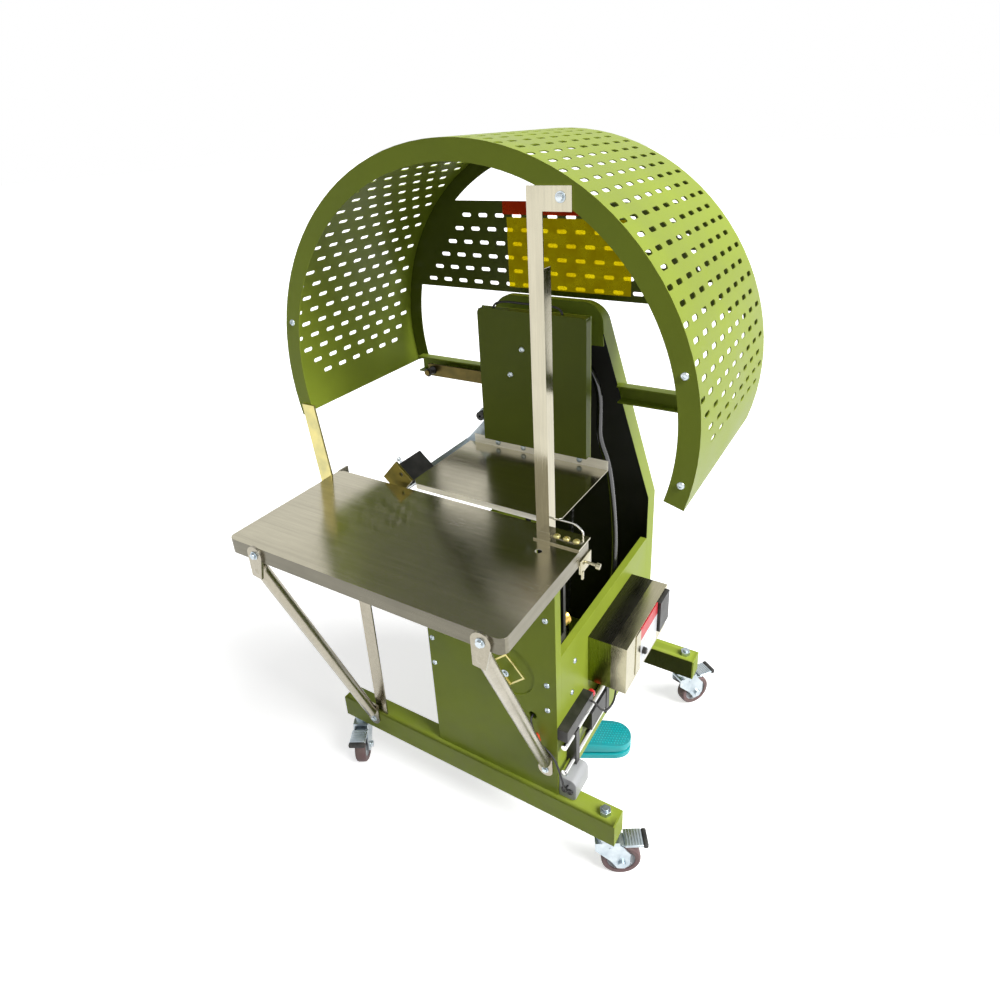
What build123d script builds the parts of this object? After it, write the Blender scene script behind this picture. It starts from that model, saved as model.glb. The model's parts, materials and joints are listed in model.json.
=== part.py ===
"""Semi automatic rope-tying machine: one STEP file per sub-part, millimetres, +Z up.

The layout frame has x = 0 on the rope arm's axis, y = 0 on the pedestal's front face and z = 0 on the
floor. The operator stands on the -Y side. place_at_origin() moves everything at the end, so that the
origin is the centre of the bounding box's bottom.
"""
from build123d import *
import math
import os

# ---------------------------------------------------------------- driving dimensions
RUNNING = 0.05              # radial clearance of a shaft in its bore
LOOSE = 0.3                 # axial clearance beside a turning piece

# feet and casters
CASTER_HEIGHT = 105.0       # floor to underside of the feet
FOOT_LENGTH = 644.0
FOOT_DEPTH = 40.0
FOOT_HEIGHT = 50.0
FOOT_WALL = 2.5
FOOT_CENTRE_X = -70.0
FOOT_STEP = 11.0            # the front foot stands this far ahead of the front panel
FOOT_TAIL = 24.0            # the rear foot stands this far behind the column back
CASTER_INSET = 23.0         # stem to foot end
STEM_R = 6.0
STEM_SEAT_R = 18.0
NUT_WIDTH = 19.0
NUT_HEIGHT = 10.0
KINGPIN_R = 5.0
CROWN_THICK = 6.0
CROWN_DROP = 11.0           # underside of the foot to the crown's top
WHEEL_R = 37.5
WHEEL_WIDTH = 24.0
AXLE_R = 4.0
TRAIL = 30.0
LEG_THICK = 3.0
LEG_GAP = 28.0
BRAKE_PIN_R = 2.5
BRAKE_PIN_X = 8.0
BRAKE_PIN_Z = 79.5
BRAKE_LENGTH = 62.0
BRAKE_THICK = 4.0
BRAKE_PAD = 9.0
CROWN_REACH = 20.0          # crown plate behind the swivel axis
CROWN_FRONT = 26.0          # crown plate ahead of the swivel axis
CASTER_TURNS = {"front_right": 31.0, "front_left": -60.0, "rear_right": 55.0, "rear_left": 120.0}

# pedestal and column
SHEET = 2.0
PEDESTAL_WIDTH = 275.0
PEDESTAL_DEPTH = 474.0      # front face to the column's back face
SWEEP_GAP = 10.0            # rope arm to what stands still below it
PANEL_RETURN = 20.0
SIDE_TOP_Z = 475.0
SIDE_LIP = 14.0
LEFT_CORNER = (90.0, 60.0)  # cut-off top front corner of the left panel
SHOULDER_Z = 575.0          # the column starts to lean and taper here
COLUMN_TOP_RISE = 11.0      # head cover top to the column top
COLUMN_CORNER_R = 36.0
COLUMN_TOP_WIDTH = 210.0
COLUMN_TOP_DEPTH = 16.0
COLUMN_FRONT_Y = 252.0
COLUMN_FLANGE = 40.0
COLUMN_TOE = 60.0           # the left flange widens forward above the shoulder
COLUMN_PLATE = 4.0
COLUMN_PLATE_RISE = 8.0     # front panel top to column plate
COLUMN_OPEN_X = 78.0        # right of this the plate is open, for the conduit
COLUMN_OPEN_DROP = 75.0     # column top to that opening
PAN_THICK = 3.0
PORT_R = 54.0
PORT_X = 40.0
PORT_Z = 420.0
PORT_COVER_R = 60.0
PORT_COVER_LIFT = 4.0
PORT_COVER_THICK = 1.5
LATCH = (56.0, 42.0, 10.0)  # length, width and lip depth of the bent latch plate
LATCH_TURN = -42.0
LATCH_LIP = 2.5
WIRE_HOLE = (88.0, 334.0)   # x, z of the wire hole in the front panel
WIRE_HOLE_R = 8.0

# arm axis and head
AXIS_RISE = 195.0           # table to the rope arm axis
SHAFT_R = 16.0
SHAFT_BORE_R = 11.0
SHAFT_FLANGE_R = 40.0
SHAFT_FLANGE = 8.0
HEAD_PLATE = 4.0
HEAD_PLATE_Y = 206.0        # front face of the head plate
HEAD_WIDTH = 210.0
HEAD_GAP = 20.0             # table to the head cover
HEAD_RISE = 77.0            # axis to the head cover top
HEAD_DEPTH = 16.0
TONGUE_WIDTH = 80.0
TONGUE_DROP = 50.0

# rotary arm
ARM_ANGLE = 228.0           # degrees from +X towards +Z, seen from the front
ARM_REACH = 275.0
ARM_BAR = 13.0              # the bar beside the tables, along the radius
ARM_BAR_WIDTH = 14.0
ARM_BAR_SIDE = 15.0         # its middle to the side of the radius through the guide block
ARM_WEB = 14.0              # the radial plate behind the tables
ARM_WEB_WIDTH = 26.0
ARM_WEB_SIDE = 23.0
HUB_R = 32.0
HUB_FLANGE_R = 46.0
HUB_GAP = 3.0               # head plate to hub
HUB_STEP = 5.0              # hub face to web
HUB_END_GAP = 2.0           # hub to column plate
TIP_THICK = 5.0
TIP_INSET = 8.0             # front table edge to tip plate
TIP_LENGTH = 47.0
TIP_WIDTH = 44.0
BLOCK_LENGTH = 64.0
BLOCK_SETBACK = 28.0        # tip plate to guide block
BLOCK_WIDTH = 44.0
BLOCK_INSIDE = 19.0         # guide block inside the arm's reach
BLOCK_OUTSIDE = 11.0        # and outside it
ARM_ROLLER_RADIUS_AT = 197.0
ARM_ROLLER_R = 9.0
ARM_ROLLER_SIDE = 24.0      # roller to the middle of the radial plate
ARM_ROLLER_PIN_R = 3.0
ARM_ROLLER_LENGTH = 11.0

# chain drive
CHAIN_SETBACK = 9.0         # middle of the chain to the column plate
CHAIN_WIDTH = 9.0
CHAIN_DEPTH = 9.0
ARM_SPROCKET_R = 60.0
DRIVE_SPROCKET_R = 30.0
SPROCKET_THICK = 6.0
CHAIN_GAP = 0.4             # chain to sprocket rim
GEARBOX_Z = 300.0
GEARBOX_X = 0.0
GEARBOX_WIDTH = 90.0
GEARBOX_DEPTH = 68.0
GEARBOX_SETBACK = 11.0      # middle of the chain to the gearbox
DRIVE_SHAFT_R = 10.0
DRIVE_SHAFT_DEPTH = 30.0
DRIVE_HUB_R = 16.0
STAND_FOOT = 12.0           # the gearbox stand's foot reaches out this far
STAND_PLATE = 8.0
STAND_LEG = 10.0
MOTOR_R = 44.0
MOTOR_LENGTH = 86.0

# tables
TABLE_Z = 750.0
TABLE_SHEET = 1.5
FRONT_TABLE_LEFT_X = -297.0
FRONT_TABLE_WIDTH = 500.0
FRONT_TABLE_FRONT_Y = -256.0
FRONT_TABLE_BACK_Y = -5.0
FRONT_TABLE_FLANGE = 25.0
TABLE_CORNER_R = 12.0
TABLE_HOLE_R = 5.5
TABLE_HOLE_IN = (53.0, 65.0)    # from the front table's right and rear edges
REAR_TABLE_LEFT_X = -150.0
REAR_TABLE_RIGHT_X = 140.0
TABLE_GAP = 20.0            # slot between the tables
REAR_TABLE_LIP = 10.0
REAR_TABLE_UPSTAND = 18.0
REAR_TABLE_CORNER = 12.0    # cut-off front corners
GUSSET_TOE = 20.0
GUSSET_START = 60.0
GUSSET_EDGE = 3.0
BRACKET_X = 110.0
BRACKET_DEPTH = 30.0
BRACKET_THICK = 3.0
BRACKET_HEIGHT = 70.0       # on the front panel
BRACKET_FOOT = 26.0
STRUT_R = 11.0
STRUT_PLATE = 4.0
STRUT_WALL = 1.5
STRUT_PLATE_WIDTH = 30.0
STRUT_END = 30.0            # bolt to the start of the round tube
LEG_X = -290.0
LEG_WIDTH = 30.0
LEG_FLANGE = 25.0
LEG_SHEET = 3.0
LEG_TOP_GAP = 4.0

# guard
GUARD_R = 357.0
GUARD_SHEET = 1.5
GUARD_FRONT_Y = -24.0
GUARD_DEPTH = 340.0
GUARD_DROOP_RIGHT = 16.6    # degrees below the axis at the right end
GUARD_DROOP_LEFT = 14.0
SLOT_COLUMNS = 12           # coarse openings round the arc
SLOT_ROWS = 7               # and from front to back
SLOT_LENGTH = 30.0
SLOT_WIDTH = 16.0
PLAIN_RIGHT = 20.0          # degrees of sheet without openings at the right end
PLAIN_LEFT = 13.0
RIM_INNER_R = 328.0
RIM_THICK = 2.0
BAND_HEIGHT = 164.0
FILM = 0.8
LARGE_FILM = (-110.0, 131.0, 10.0, 136.0)   # x from, x to, z from, z to above the band's low edge
SMALL_FILM = (-118.0, 39.0, 141.0, 164.0)
CROSSBAR_HEIGHT = 33.0
CROSSBAR_DEPTH = 20.0
CROSSBAR_DROP = 88.0
CROSSBAR_END_X = 332.0
CROSSBAR_WALL = 3.0
POST_X = 123.0
POST_WIDTH = 22.0
POST_DEPTH = 20.0
POST_SHEET = 2.0
POST_TOP_RISE = 299.0       # axis to the post top
POST_TAB_WIDTH = 62.0
POST_TAB_HEIGHT = 30.0
POST_TAPER = 70.0           # the post's rear leg ends this far below its tab
POST_FOOT = (128.0, 203.0, -46.0, -7.0)     # x from, x to, y from, y to
POST_FOOT_THICK = 3.0
GUIDE_WIRE_R = 1.5
SIDE_STRUT_WIDTH = 28.0
SIDE_STRUT_THICK = 4.0
SIDE_STRUT_DROP = 10.5      # below the table's bolt line
SIDE_STRUT_RISE = 132.0
SIDE_STRUT_SHIFT = 16.0
SIDE_STRUT_TAB = 22.0

# rope guide bar
GUIDE_BAR_DROP = 93.0
GUIDE_BAR_ROOT_X = -90.0
GUIDE_BAR_TAB = (17.0, 10.0)    # reach and depth of the welded root
GUIDE_BAR_HEIGHT = 26.0
GUIDE_BAR_THICK = 4.0
GUIDE_BAR_Y = 283.0
GUIDE_BAR_END_X = -298.0
GUIDE_ROLLER_R = 9.0
GUIDE_ROLLER_LENGTH = 18.0
GUIDE_ROLLER_PIN_R = 3.0

# knotter
KNOTTER_WIDTH = 91.0
KNOTTER_INSET = 4.5         # knotter plate to the pedestal's right side
KNOTTER_HEIGHT = 152.0
KNOTTER_GAP = 11.0          # guide block's circle to the knotter plate
KNOTTER_RAIL = (16.0, 10.0)     # width of the right and left spacers
KNOTTER_PLATE_Y = 40.0
KNOTTER_PLATE = 8.0
CAM_SHAFT_R = 8.0
CAM_INSET = 41.0            # from the knotter plate's right edge
CAM_DROP = 58.0             # from the knotter plate's top
CAM_R = 34.0
CAM_WIDTH = 22.0
HOOK_INSET = 20.0           # from the knotter plate's left edge
HOOK_REACH = 14.0           # ahead of the knotter plate
HOOK_LENGTH = 56.0
HOOK_BOSS = 32.0
HOOK_R = 5.0
HOOK_BOSS_R = 11.0
HOOK_TIP = 12.0             # the bent tip turns clear of the knotter plate
ROPE_ROLLER_INSET = 19.0    # from the knotter plate's right edge
ROPE_ROLLER_RISE = 14.0     # above the knotter plate's low edge
ROPE_ROLLER_R = 15.0
ROPE_ROLLER_LENGTH = 30.0
ROPE_ROLLER_PIN_R = 5.0

# control box
BOX_FRONT_Y = 130.0
BOX_LENGTH = 220.0
BOX_DEPTH = 77.0
BOX_LOW_Z = 330.0
BOX_HEIGHT = 105.0
BOX_SHEET = 1.5
FACE_PLATE = 1.5
KNOB_R = 7.0
KNOB_HEIGHT = 8.0
KNOB_SHAFT_R = 3.0
KNOB_ALONG = 82.0           # from the control box's front end
KNOB_RISE = 42.0            # above its underside
FACE_PLATE_ALONG = (46.0, 160.0)
FACE_PLATE_EDGE = (8.0, 4.0)
SOCKET_ALONG = (164.0, 216.0)
SOCKET_RISE = (26.0, 97.0)
SOCKET_DEPTH = 7.0

# guide rods and push button beside the pedestal
ROD_OFFSET = 12.5           # rod axis to the pedestal side
ROD_R = 6.0
ROD_LENGTH = 190.0
UPPER_ROD_Z = 284.0
LOWER_ROD_Z = 222.0
MOUNT_THICK = 14.0
MOUNT_WIDTH = 20.5
BAR_HEIGHT = 26.0
BAR_Z = 313.0
BAR_LENGTH = 110.0
FRONT_MOUNT_Y = 36.0
SLIDE_ALONG = (105.0, 172.0)    # black block between the rods
SLIDE_EDGE = 4.0
MOUNT_EDGE = (6.0, 3.0)     # below the lower rod and above the upper rod
BUTTON_BORE = 20.0
STEM_DEPTH = 14.0
BUTTON_R = 8.0
BUTTON_STEM_R = 4.0
BUTTON_TRAVEL = 3.0
BUTTON_LENGTH = 10.0

# cable junction, wires, foot switch
JUNCTION_FRONT_Y = 2.0
JUNCTION_LENGTH = 54.0
JUNCTION_WIDTH = 36.0
JUNCTION_HEIGHT = 50.0
JUNCTION_CORNER_R = 12.0
PLUG_R = 6.5
WIRE_R = 2.0
CONDUIT_R = 6.0
SWITCH_X = 97.0
SWITCH_Y = 263.0
SWITCH_YAW = 28.5
SWITCH_LENGTH = 160.0
SWITCH_WIDTH = 72.0
SWITCH_BASE = 12.0
TREAD_HEIGHT = 46.0
TREAD_TOE_HEIGHT = 34.0
TREAD_BEND = 30.0           # heel end to the start of the slope
TREAD_GAP = 9.0
TREAD_WALL = 4.0
TREAD_PIN_R = 4.0
TREAD_PIN_INSET = 14.0
SWITCH_CORD_R = 3.0

SCREW_R = 3.0
SCREW_HEAD_R = 5.5
SCREW_HEAD = 3.0
BOLT_R = 4.0
BOLT_HEAD_R = 7.0
BOLT_HEAD = 5.0

# ---------------------------------------------------------------- derived places
FOOT_TOP_Z = CASTER_HEIGHT + FOOT_HEIGHT
FRONT_FOOT_Y = FOOT_DEPTH / 2 - FOOT_STEP
REAR_FOOT_Y = PEDESTAL_DEPTH + FOOT_TAIL - FOOT_DEPTH / 2
FOOT_ENDS = (FOOT_CENTRE_X - FOOT_LENGTH / 2, FOOT_CENTRE_X + FOOT_LENGTH / 2)
CASTER_PLACES = {
    "front_right": (FOOT_ENDS[1] - CASTER_INSET, FRONT_FOOT_Y),
    "front_left": (FOOT_ENDS[0] + CASTER_INSET, FRONT_FOOT_Y),
    "rear_right": (FOOT_ENDS[1] - CASTER_INSET, REAR_FOOT_Y),
    "rear_left": (FOOT_ENDS[0] + CASTER_INSET, REAR_FOOT_Y),
}
CROWN_TOP_Z = CASTER_HEIGHT - CROWN_DROP

AXIS_Z = TABLE_Z + AXIS_RISE
PANEL_TOP_Z = AXIS_Z - ARM_REACH - SWEEP_GAP
HALF_WIDTH = PEDESTAL_WIDTH / 2
HALF_TOP = COLUMN_TOP_WIDTH / 2
HEAD_TOP_Z = AXIS_Z + HEAD_RISE
HEAD_LOW_Z = TABLE_Z + HEAD_GAP
TONGUE_LOW_Z = TABLE_Z - TONGUE_DROP
COLUMN_TOP_Z = HEAD_TOP_Z + COLUMN_TOP_RISE
COLUMN_TOP_BACK_Y = COLUMN_FRONT_Y + COLUMN_TOP_DEPTH
COLUMN_PLATE_LOW_Z = PANEL_TOP_Z + COLUMN_PLATE_RISE
LEAN = (PEDESTAL_DEPTH - COLUMN_TOP_BACK_Y) / (COLUMN_TOP_Z - SHOULDER_Z)

HUB_FRONT_Y = HEAD_PLATE_Y + HEAD_PLATE + HUB_GAP
HUB_BACK_Y = COLUMN_FRONT_Y - HUB_END_GAP
ARM_WEB_Y = HUB_FRONT_Y + HUB_STEP
ARM_WEB_BACK_Y = ARM_WEB_Y + ARM_WEB
ARM_ROLLER_AT_SIDE = ARM_WEB_SIDE - ARM_ROLLER_SIDE
CHAIN_Y = COLUMN_FRONT_Y - CHAIN_SETBACK
GEARBOX_BACK_Y = CHAIN_Y - GEARBOX_SETBACK
TIP_FRONT_Y = FRONT_TABLE_BACK_Y + TIP_INSET
BLOCK_START_Y = TIP_FRONT_Y + BLOCK_SETBACK
BLOCK_INNER_R = ARM_REACH - BLOCK_INSIDE
BLOCK_OUTER_R = ARM_REACH + BLOCK_OUTSIDE
TIP_INNER_R = ARM_REACH - TIP_LENGTH

TABLE_UNDER_Z = TABLE_Z - TABLE_SHEET
FRONT_TABLE_RIGHT_X = FRONT_TABLE_LEFT_X + FRONT_TABLE_WIDTH
TABLE_BOLT_Z = TABLE_Z - FRONT_TABLE_FLANGE / 2
REAR_TABLE_FRONT_Y = FRONT_TABLE_BACK_Y + TABLE_GAP
BRACKET_LOW_Z = PANEL_TOP_Z - BRACKET_HEIGHT

GUARD_BACK_Y = GUARD_FRONT_Y + GUARD_DEPTH
BAND_LOW_Z = HEAD_TOP_Z
BAND_TOP_Z = BAND_LOW_Z + BAND_HEIGHT
CROSSBAR_Z = AXIS_Z - CROSSBAR_DROP
POST_TOP_Z = AXIS_Z + POST_TOP_RISE
GUIDE_BAR_Z = AXIS_Z - GUIDE_BAR_DROP

KNOTTER_RIGHT_X = HALF_WIDTH - KNOTTER_INSET
KNOTTER_LEFT_X = KNOTTER_RIGHT_X - KNOTTER_WIDTH
KNOTTER_TOP_Z = AXIS_Z - BLOCK_OUTER_R - KNOTTER_GAP
KNOTTER_LOW_Z = KNOTTER_TOP_Z - KNOTTER_HEIGHT
CAM_X = KNOTTER_RIGHT_X - CAM_INSET
CAM_Z = KNOTTER_TOP_Z - CAM_DROP
HOOK_X = KNOTTER_LEFT_X + HOOK_INSET
HOOK_Y = KNOTTER_PLATE_Y - HOOK_REACH
ROPE_ROLLER_X = KNOTTER_RIGHT_X - ROPE_ROLLER_INSET
ROPE_ROLLER_Z = KNOTTER_LOW_Z + ROPE_ROLLER_RISE

BOX_FACE_X = HALF_WIDTH + BOX_DEPTH
KNOB_Y = BOX_FRONT_Y + KNOB_ALONG
KNOB_Z = BOX_LOW_Z + KNOB_RISE
ROD_X = HALF_WIDTH + ROD_OFFSET

nodes = {}


# ---------------------------------------------------------------- small helpers
def block(x0, x1, y0, y1, z0, z1):
    """A box given by its two corners."""
    return Pos((x0 + x1) / 2, (y0 + y1) / 2, (z0 + z1) / 2) * Box(x1 - x0, y1 - y0, z1 - z0)


def rod(start, end, radius):
    """A round bar between two points."""
    a, b = Vector(*start), Vector(*end)
    plane = Plane(origin=a, z_dir=b - a)
    return extrude(plane * Circle(radius), (b - a).length)


def along_y(x, z, y0, y1, radius):
    return rod((x, y0, z), (x, y1, z), radius)


def plate_xz(points, y0, y1):
    """A flat plate with the outline points (x, z), between two y values."""
    face = make_face(Polyline(*[(x, y0, z) for x, z in points], close=True))
    return extrude(face, y1 - y0, dir=(0, 1, 0))


def plate_yz(points, x0, x1):
    """A flat plate with the outline points (y, z), between two x values."""
    face = make_face(Polyline(*[(x0, y, z) for y, z in points], close=True))
    return extrude(face, x1 - x0, dir=(1, 0, 0))


def hexagon(x, y, z, flats, height):
    return Pos(x, y, z) * extrude(RegularPolygon(flats / 2, 6, major_radius=False), height)


def tube_path(points, radius):
    """A plain cord: straight runs joined by arcs as large as their runs allow."""
    pts = [Vector(*p) for p in points]
    radii = []
    for before, here, after in zip(pts, pts[1:], pts[2:]):
        turn = (here - before).get_angle(after - here)
        run = min((here - before).length, (after - here).length)
        radii.append(0.45 * run / math.tan(math.radians(turn / 2)))
    path = FilletPolyline(*pts, radius=radii)
    section = Plane(origin=pts[0], z_dir=pts[1] - pts[0]) * Circle(radius)
    cord = sweep(section, path=path)
    share = cord.volume / (math.pi * radius ** 2 * path.length)
    print("cord radii", [round(r) for r in radii], "volume share", round(share, 4))
    return cord


def screws(places, direction, radius, head_r, head, grip):
    """Button-head screws: places are points on the outer surface, direction points outwards."""
    out = []
    d = Vector(*direction)
    for place in places:
        at = Vector(*place)
        shank = rod(at - d * grip, at, radius - RUNNING)
        cap = rod(at, at + d * head, head_r)
        out.append(shank + cap)
    return out


def bores(places, direction, radius, grip):
    d = Vector(*direction)
    return [rod(Vector(*p) - d * (grip + 1), Vector(*p) + d, radius) for p in places]


def cut_all(shape, tools):
    for tool in tools:
        shape = shape - tool
    return shape


# ---------------------------------------------------------------- fastener places
OUT_FRONT = (0, -1, 0)
OUT_BACK = (0, 1, 0)
OUT_RIGHT = (1, 0, 0)
OUT_UP = (0, 0, 1)
PANEL_RIGHT_X = HALF_WIDTH - 18.5
PANEL_LEFT_X = 9.5 - HALF_WIDTH
PANEL_SCREWS = [(PANEL_RIGHT_X, 0, z) for z in (361, 419, 560)]
PANEL_SCREWS += [(PANEL_LEFT_X, 0, z) for z in (364, 425, 560)]
BRACKET_SCREWS = [(side * (BRACKET_X - 12), -BRACKET_THICK, BRACKET_LOW_Z + rise)
                  for side in (-1, 1) for rise in (20, 50)]
HEAD_SCREWS = [(x, HEAD_PLATE_Y - HEAD_DEPTH, AXIS_Z + rise) for x, rise in ((-17, 11), (-42, -38))]
UPSTAND_SCREWS = [(x, HEAD_PLATE_Y - TABLE_SHEET, TABLE_Z + REAR_TABLE_UPSTAND / 2)
                  for x in (-85, -30, 30, 85)]
STRUT_TOP = [(x, FRONT_TABLE_FRONT_Y - STRUT_PLATE, TABLE_BOLT_Z)
             for x in (FRONT_TABLE_LEFT_X + 61, FRONT_TABLE_RIGHT_X - 32)]
STRUT_LOW = [(FOOT_ENDS[0] + 85, -FOOT_STEP, FOOT_TOP_Z - 16), (HALF_WIDTH - 24.5, 0, FOOT_TOP_Z + 59)]
LEG_BOLT = (LEG_X, FRONT_TABLE_BACK_Y, TABLE_BOLT_Z)
SIDE_SCREWS = [(HALF_WIDTH, 73, 424), (HALF_WIDTH, 60, 360)]
RIM_MIDDLE_R = (GUARD_R + RIM_INNER_R) / 2
RIM_SCREWS = [(RIM_MIDDLE_R * math.cos(a), GUARD_FRONT_Y, AXIS_Z + RIM_MIDDLE_R * math.sin(a))
              for a in map(math.radians, (-11, 14, 166))]
TAB_BOLT = (POST_X + 47, GUARD_FRONT_Y - POST_SHEET, POST_TOP_Z - 13)
FOOT_PLATE_SCREWS = [(POST_FOOT[1] - inset, GUARD_FRONT_Y - 3, TABLE_Z + POST_FOOT_THICK)
                     for inset in (13, 29, 45)]


# ---------------------------------------------------------------- feet and casters
def make_feet():
    solids = []
    for y in (FRONT_FOOT_Y, REAR_FOOT_Y):
        y0, y1 = y - FOOT_DEPTH / 2, y + FOOT_DEPTH / 2
        tube = block(*FOOT_ENDS, y0, y1, CASTER_HEIGHT, FOOT_TOP_Z)
        w = FOOT_WALL
        tube -= block(FOOT_ENDS[0] - 1, FOOT_ENDS[1] + 1, y0 + w, y1 - w, CASTER_HEIGHT + w, FOOT_TOP_Z - w)
        for cx, cy in CASTER_PLACES.values():
            if cy == y:
                tube -= rod((cx, cy, CASTER_HEIGHT - 1), (cx, cy, FOOT_TOP_Z + 1), STEM_R + RUNNING)
        if y == FRONT_FOOT_Y:
            tube = cut_all(tube, bores(STRUT_LOW[:1], OUT_FRONT, BOLT_R, 12))
        solids.append(tube)
        for end, out in zip(FOOT_ENDS, (-1, 1)):
            inner = sorted((end, end - out * 12))
            plug = block(*inner, y0 + w, y1 - w, CASTER_HEIGHT + w, FOOT_TOP_Z - w)
            lid = sorted((end, end + out * 3))
            plug += block(*lid, y0, y1, CASTER_HEIGHT, FOOT_TOP_Z)
            solids.append(plug)
    nodes["feet"] = solids


def make_stems():
    solids = []
    for cx, cy in CASTER_PLACES.values():
        stem = rod((cx, cy, CROWN_TOP_Z), (cx, cy, FOOT_TOP_Z + NUT_HEIGHT + 4), STEM_R)
        seat_low = CROWN_TOP_Z + 3 + LOOSE
        stem += rod((cx, cy, seat_low), (cx, cy, CASTER_HEIGHT), STEM_SEAT_R)
        crown_low = CROWN_TOP_Z - CROWN_THICK
        stem += rod((cx, cy, crown_low - LOOSE - 3), (cx, cy, seat_low), KINGPIN_R)
        stem -= rod((cx, cy, CROWN_TOP_Z - 1), (cx, cy, seat_low), STEM_R + 1) - rod(
            (cx, cy, CROWN_TOP_Z - 2), (cx, cy, seat_low + 1), KINGPIN_R)
        stem += rod((cx, cy, crown_low - LOOSE - 3), (cx, cy, crown_low - LOOSE), KINGPIN_R + 4)
        nut = hexagon(cx, cy, FOOT_TOP_Z, NUT_WIDTH, NUT_HEIGHT)
        nut -= rod((cx, cy, FOOT_TOP_Z - 1), (cx, cy, FOOT_TOP_Z + NUT_HEIGHT + 1), STEM_R + RUNNING)
        solids += [stem, nut]
    nodes["caster_stems"] = solids


def caster_fork():
    """Fork with its axle, about the swivel axis, trailing along +X."""
    low = CROWN_TOP_Z - CROWN_THICK
    half = LEG_GAP / 2
    crown = block(-CROWN_REACH, CROWN_FRONT, -half - LEG_THICK, half + LEG_THICK, low, CROWN_TOP_Z)
    race = rod((0, 0, CROWN_TOP_Z), (0, 0, CROWN_TOP_Z + 3), STEM_SEAT_R)
    fork = crown + race
    outline = [(-CROWN_REACH, low), (CROWN_FRONT, low), (TRAIL + 16, WHEEL_R + 24), (TRAIL + 15, WHEEL_R - 4),
               (TRAIL + 6, WHEEL_R - 15), (TRAIL - 8, WHEEL_R - 14), (TRAIL - 22, WHEEL_R + 8),
               (-CROWN_REACH, low - 14)]
    for y in (-half - LEG_THICK, half):
        fork += plate_xz(outline, y, y + LEG_THICK)
    pin = rod((0, 0, low - 1), (0, 0, CROWN_TOP_Z + 4), KINGPIN_R + RUNNING)
    axle_hole = along_y(TRAIL, WHEEL_R, -half - LEG_THICK - 1, half + LEG_THICK + 1, AXLE_R + RUNNING)
    brake_hole = along_y(BRAKE_PIN_X, BRAKE_PIN_Z, -half - LEG_THICK - 1, half + LEG_THICK + 1,
                         BRAKE_PIN_R + RUNNING)
    fork = fork - pin - axle_hole - brake_hole
    out = half + LEG_THICK
    axle = along_y(TRAIL, WHEEL_R, -out - 5, out + 6, AXLE_R)
    axle += along_y(TRAIL, WHEEL_R, -out - 5, -out, AXLE_R + 3.5)
    axle += along_y(TRAIL, WHEEL_R, out, out + 6, AXLE_R + 3)
    return [fork, axle]


def caster_wheel():
    half = WHEEL_WIDTH / 2
    r = WHEEL_R
    bore = AXLE_R + RUNNING
    points = [(bore, -half - 1), (12, -half - 1), (12, -half + 3), (r - 9, -half + 3), (r - 8, -half),
              (r - 3, -half), (r, -half + 4), (r, half - 4), (r - 3, half), (r - 8, half), (r - 9, half - 3),
              (12, half - 3), (12, half + 1), (bore, half + 1)]
    profile = make_face(Polyline(*[(x, y, 0) for x, y in points], close=True))
    wheel = revolve(profile, Axis.Y)
    return [Pos(TRAIL, 0, WHEEL_R) * wheel]


def caster_brake():
    half = LEG_GAP / 2
    start, z = BRAKE_PIN_X - 5, BRAKE_PIN_Z - BRAKE_THICK / 2
    end = BRAKE_PIN_X + BRAKE_LENGTH
    step = CROWN_FRONT + 9
    lever = block(start, end - 8, -half + 1, half - 1, z, z + BRAKE_THICK)
    lever += block(step, end, -half - 4, half + 4, z + BRAKE_THICK, z + BRAKE_THICK + 6)
    pad = block(end, end + BRAKE_PAD, -half - 4, half + 4, z, z + BRAKE_THICK + 7)
    pin = along_y(BRAKE_PIN_X, BRAKE_PIN_Z, -half - LEG_THICK - 1, half + LEG_THICK + 1, BRAKE_PIN_R)
    return [lever + pin, pad]


def make_casters():
    makers = {"fork": caster_fork, "wheel": caster_wheel, "brake": caster_brake}
    for name, (cx, cy) in CASTER_PLACES.items():
        at = Pos(cx, cy, 0) * Rot(0, 0, CASTER_TURNS[name])
        for part, maker in makers.items():
            nodes[f"caster_{part}_{name}"] = [at * solid for solid in maker()]


# ---------------------------------------------------------------- pedestal and column
def make_front_panel():
    panel = block(-HALF_WIDTH, HALF_WIDTH, 0, PANEL_RETURN, FOOT_TOP_Z, PANEL_TOP_Z)
    inner = HALF_WIDTH - SHEET
    panel -= block(-inner, inner, SHEET, PANEL_RETURN + 1, FOOT_TOP_Z - 1, PANEL_TOP_Z + 1)
    panel -= along_y(PORT_X, PORT_Z, -1, SHEET + 1, PORT_R)
    panel -= along_y(*WIRE_HOLE, -1, SHEET + 1, WIRE_HOLE_R)
    panel = cut_all(panel, bores(PANEL_SCREWS + STRUT_LOW[1:], OUT_FRONT, SCREW_R, 12))
    panel = cut_all(panel, bores(BRACKET_SCREWS, OUT_FRONT, SCREW_R, 12))
    cover = along_y(PORT_X, PORT_Z + PORT_COVER_LIFT, SHEET, SHEET + PORT_COVER_THICK, PORT_COVER_R)
    length, width, lip = LATCH
    latch = Box(width, SHEET, length)
    latch += Pos((LATCH_LIP - width) / 2, -(SHEET + lip) / 2, 0) * Box(LATCH_LIP, lip, length)
    latch = Pos(PORT_X, SHEET / 2, PORT_Z) * Rot(0, LATCH_TURN, 0) * latch
    nodes["front_panel"] = [panel, cover, latch]


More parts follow.
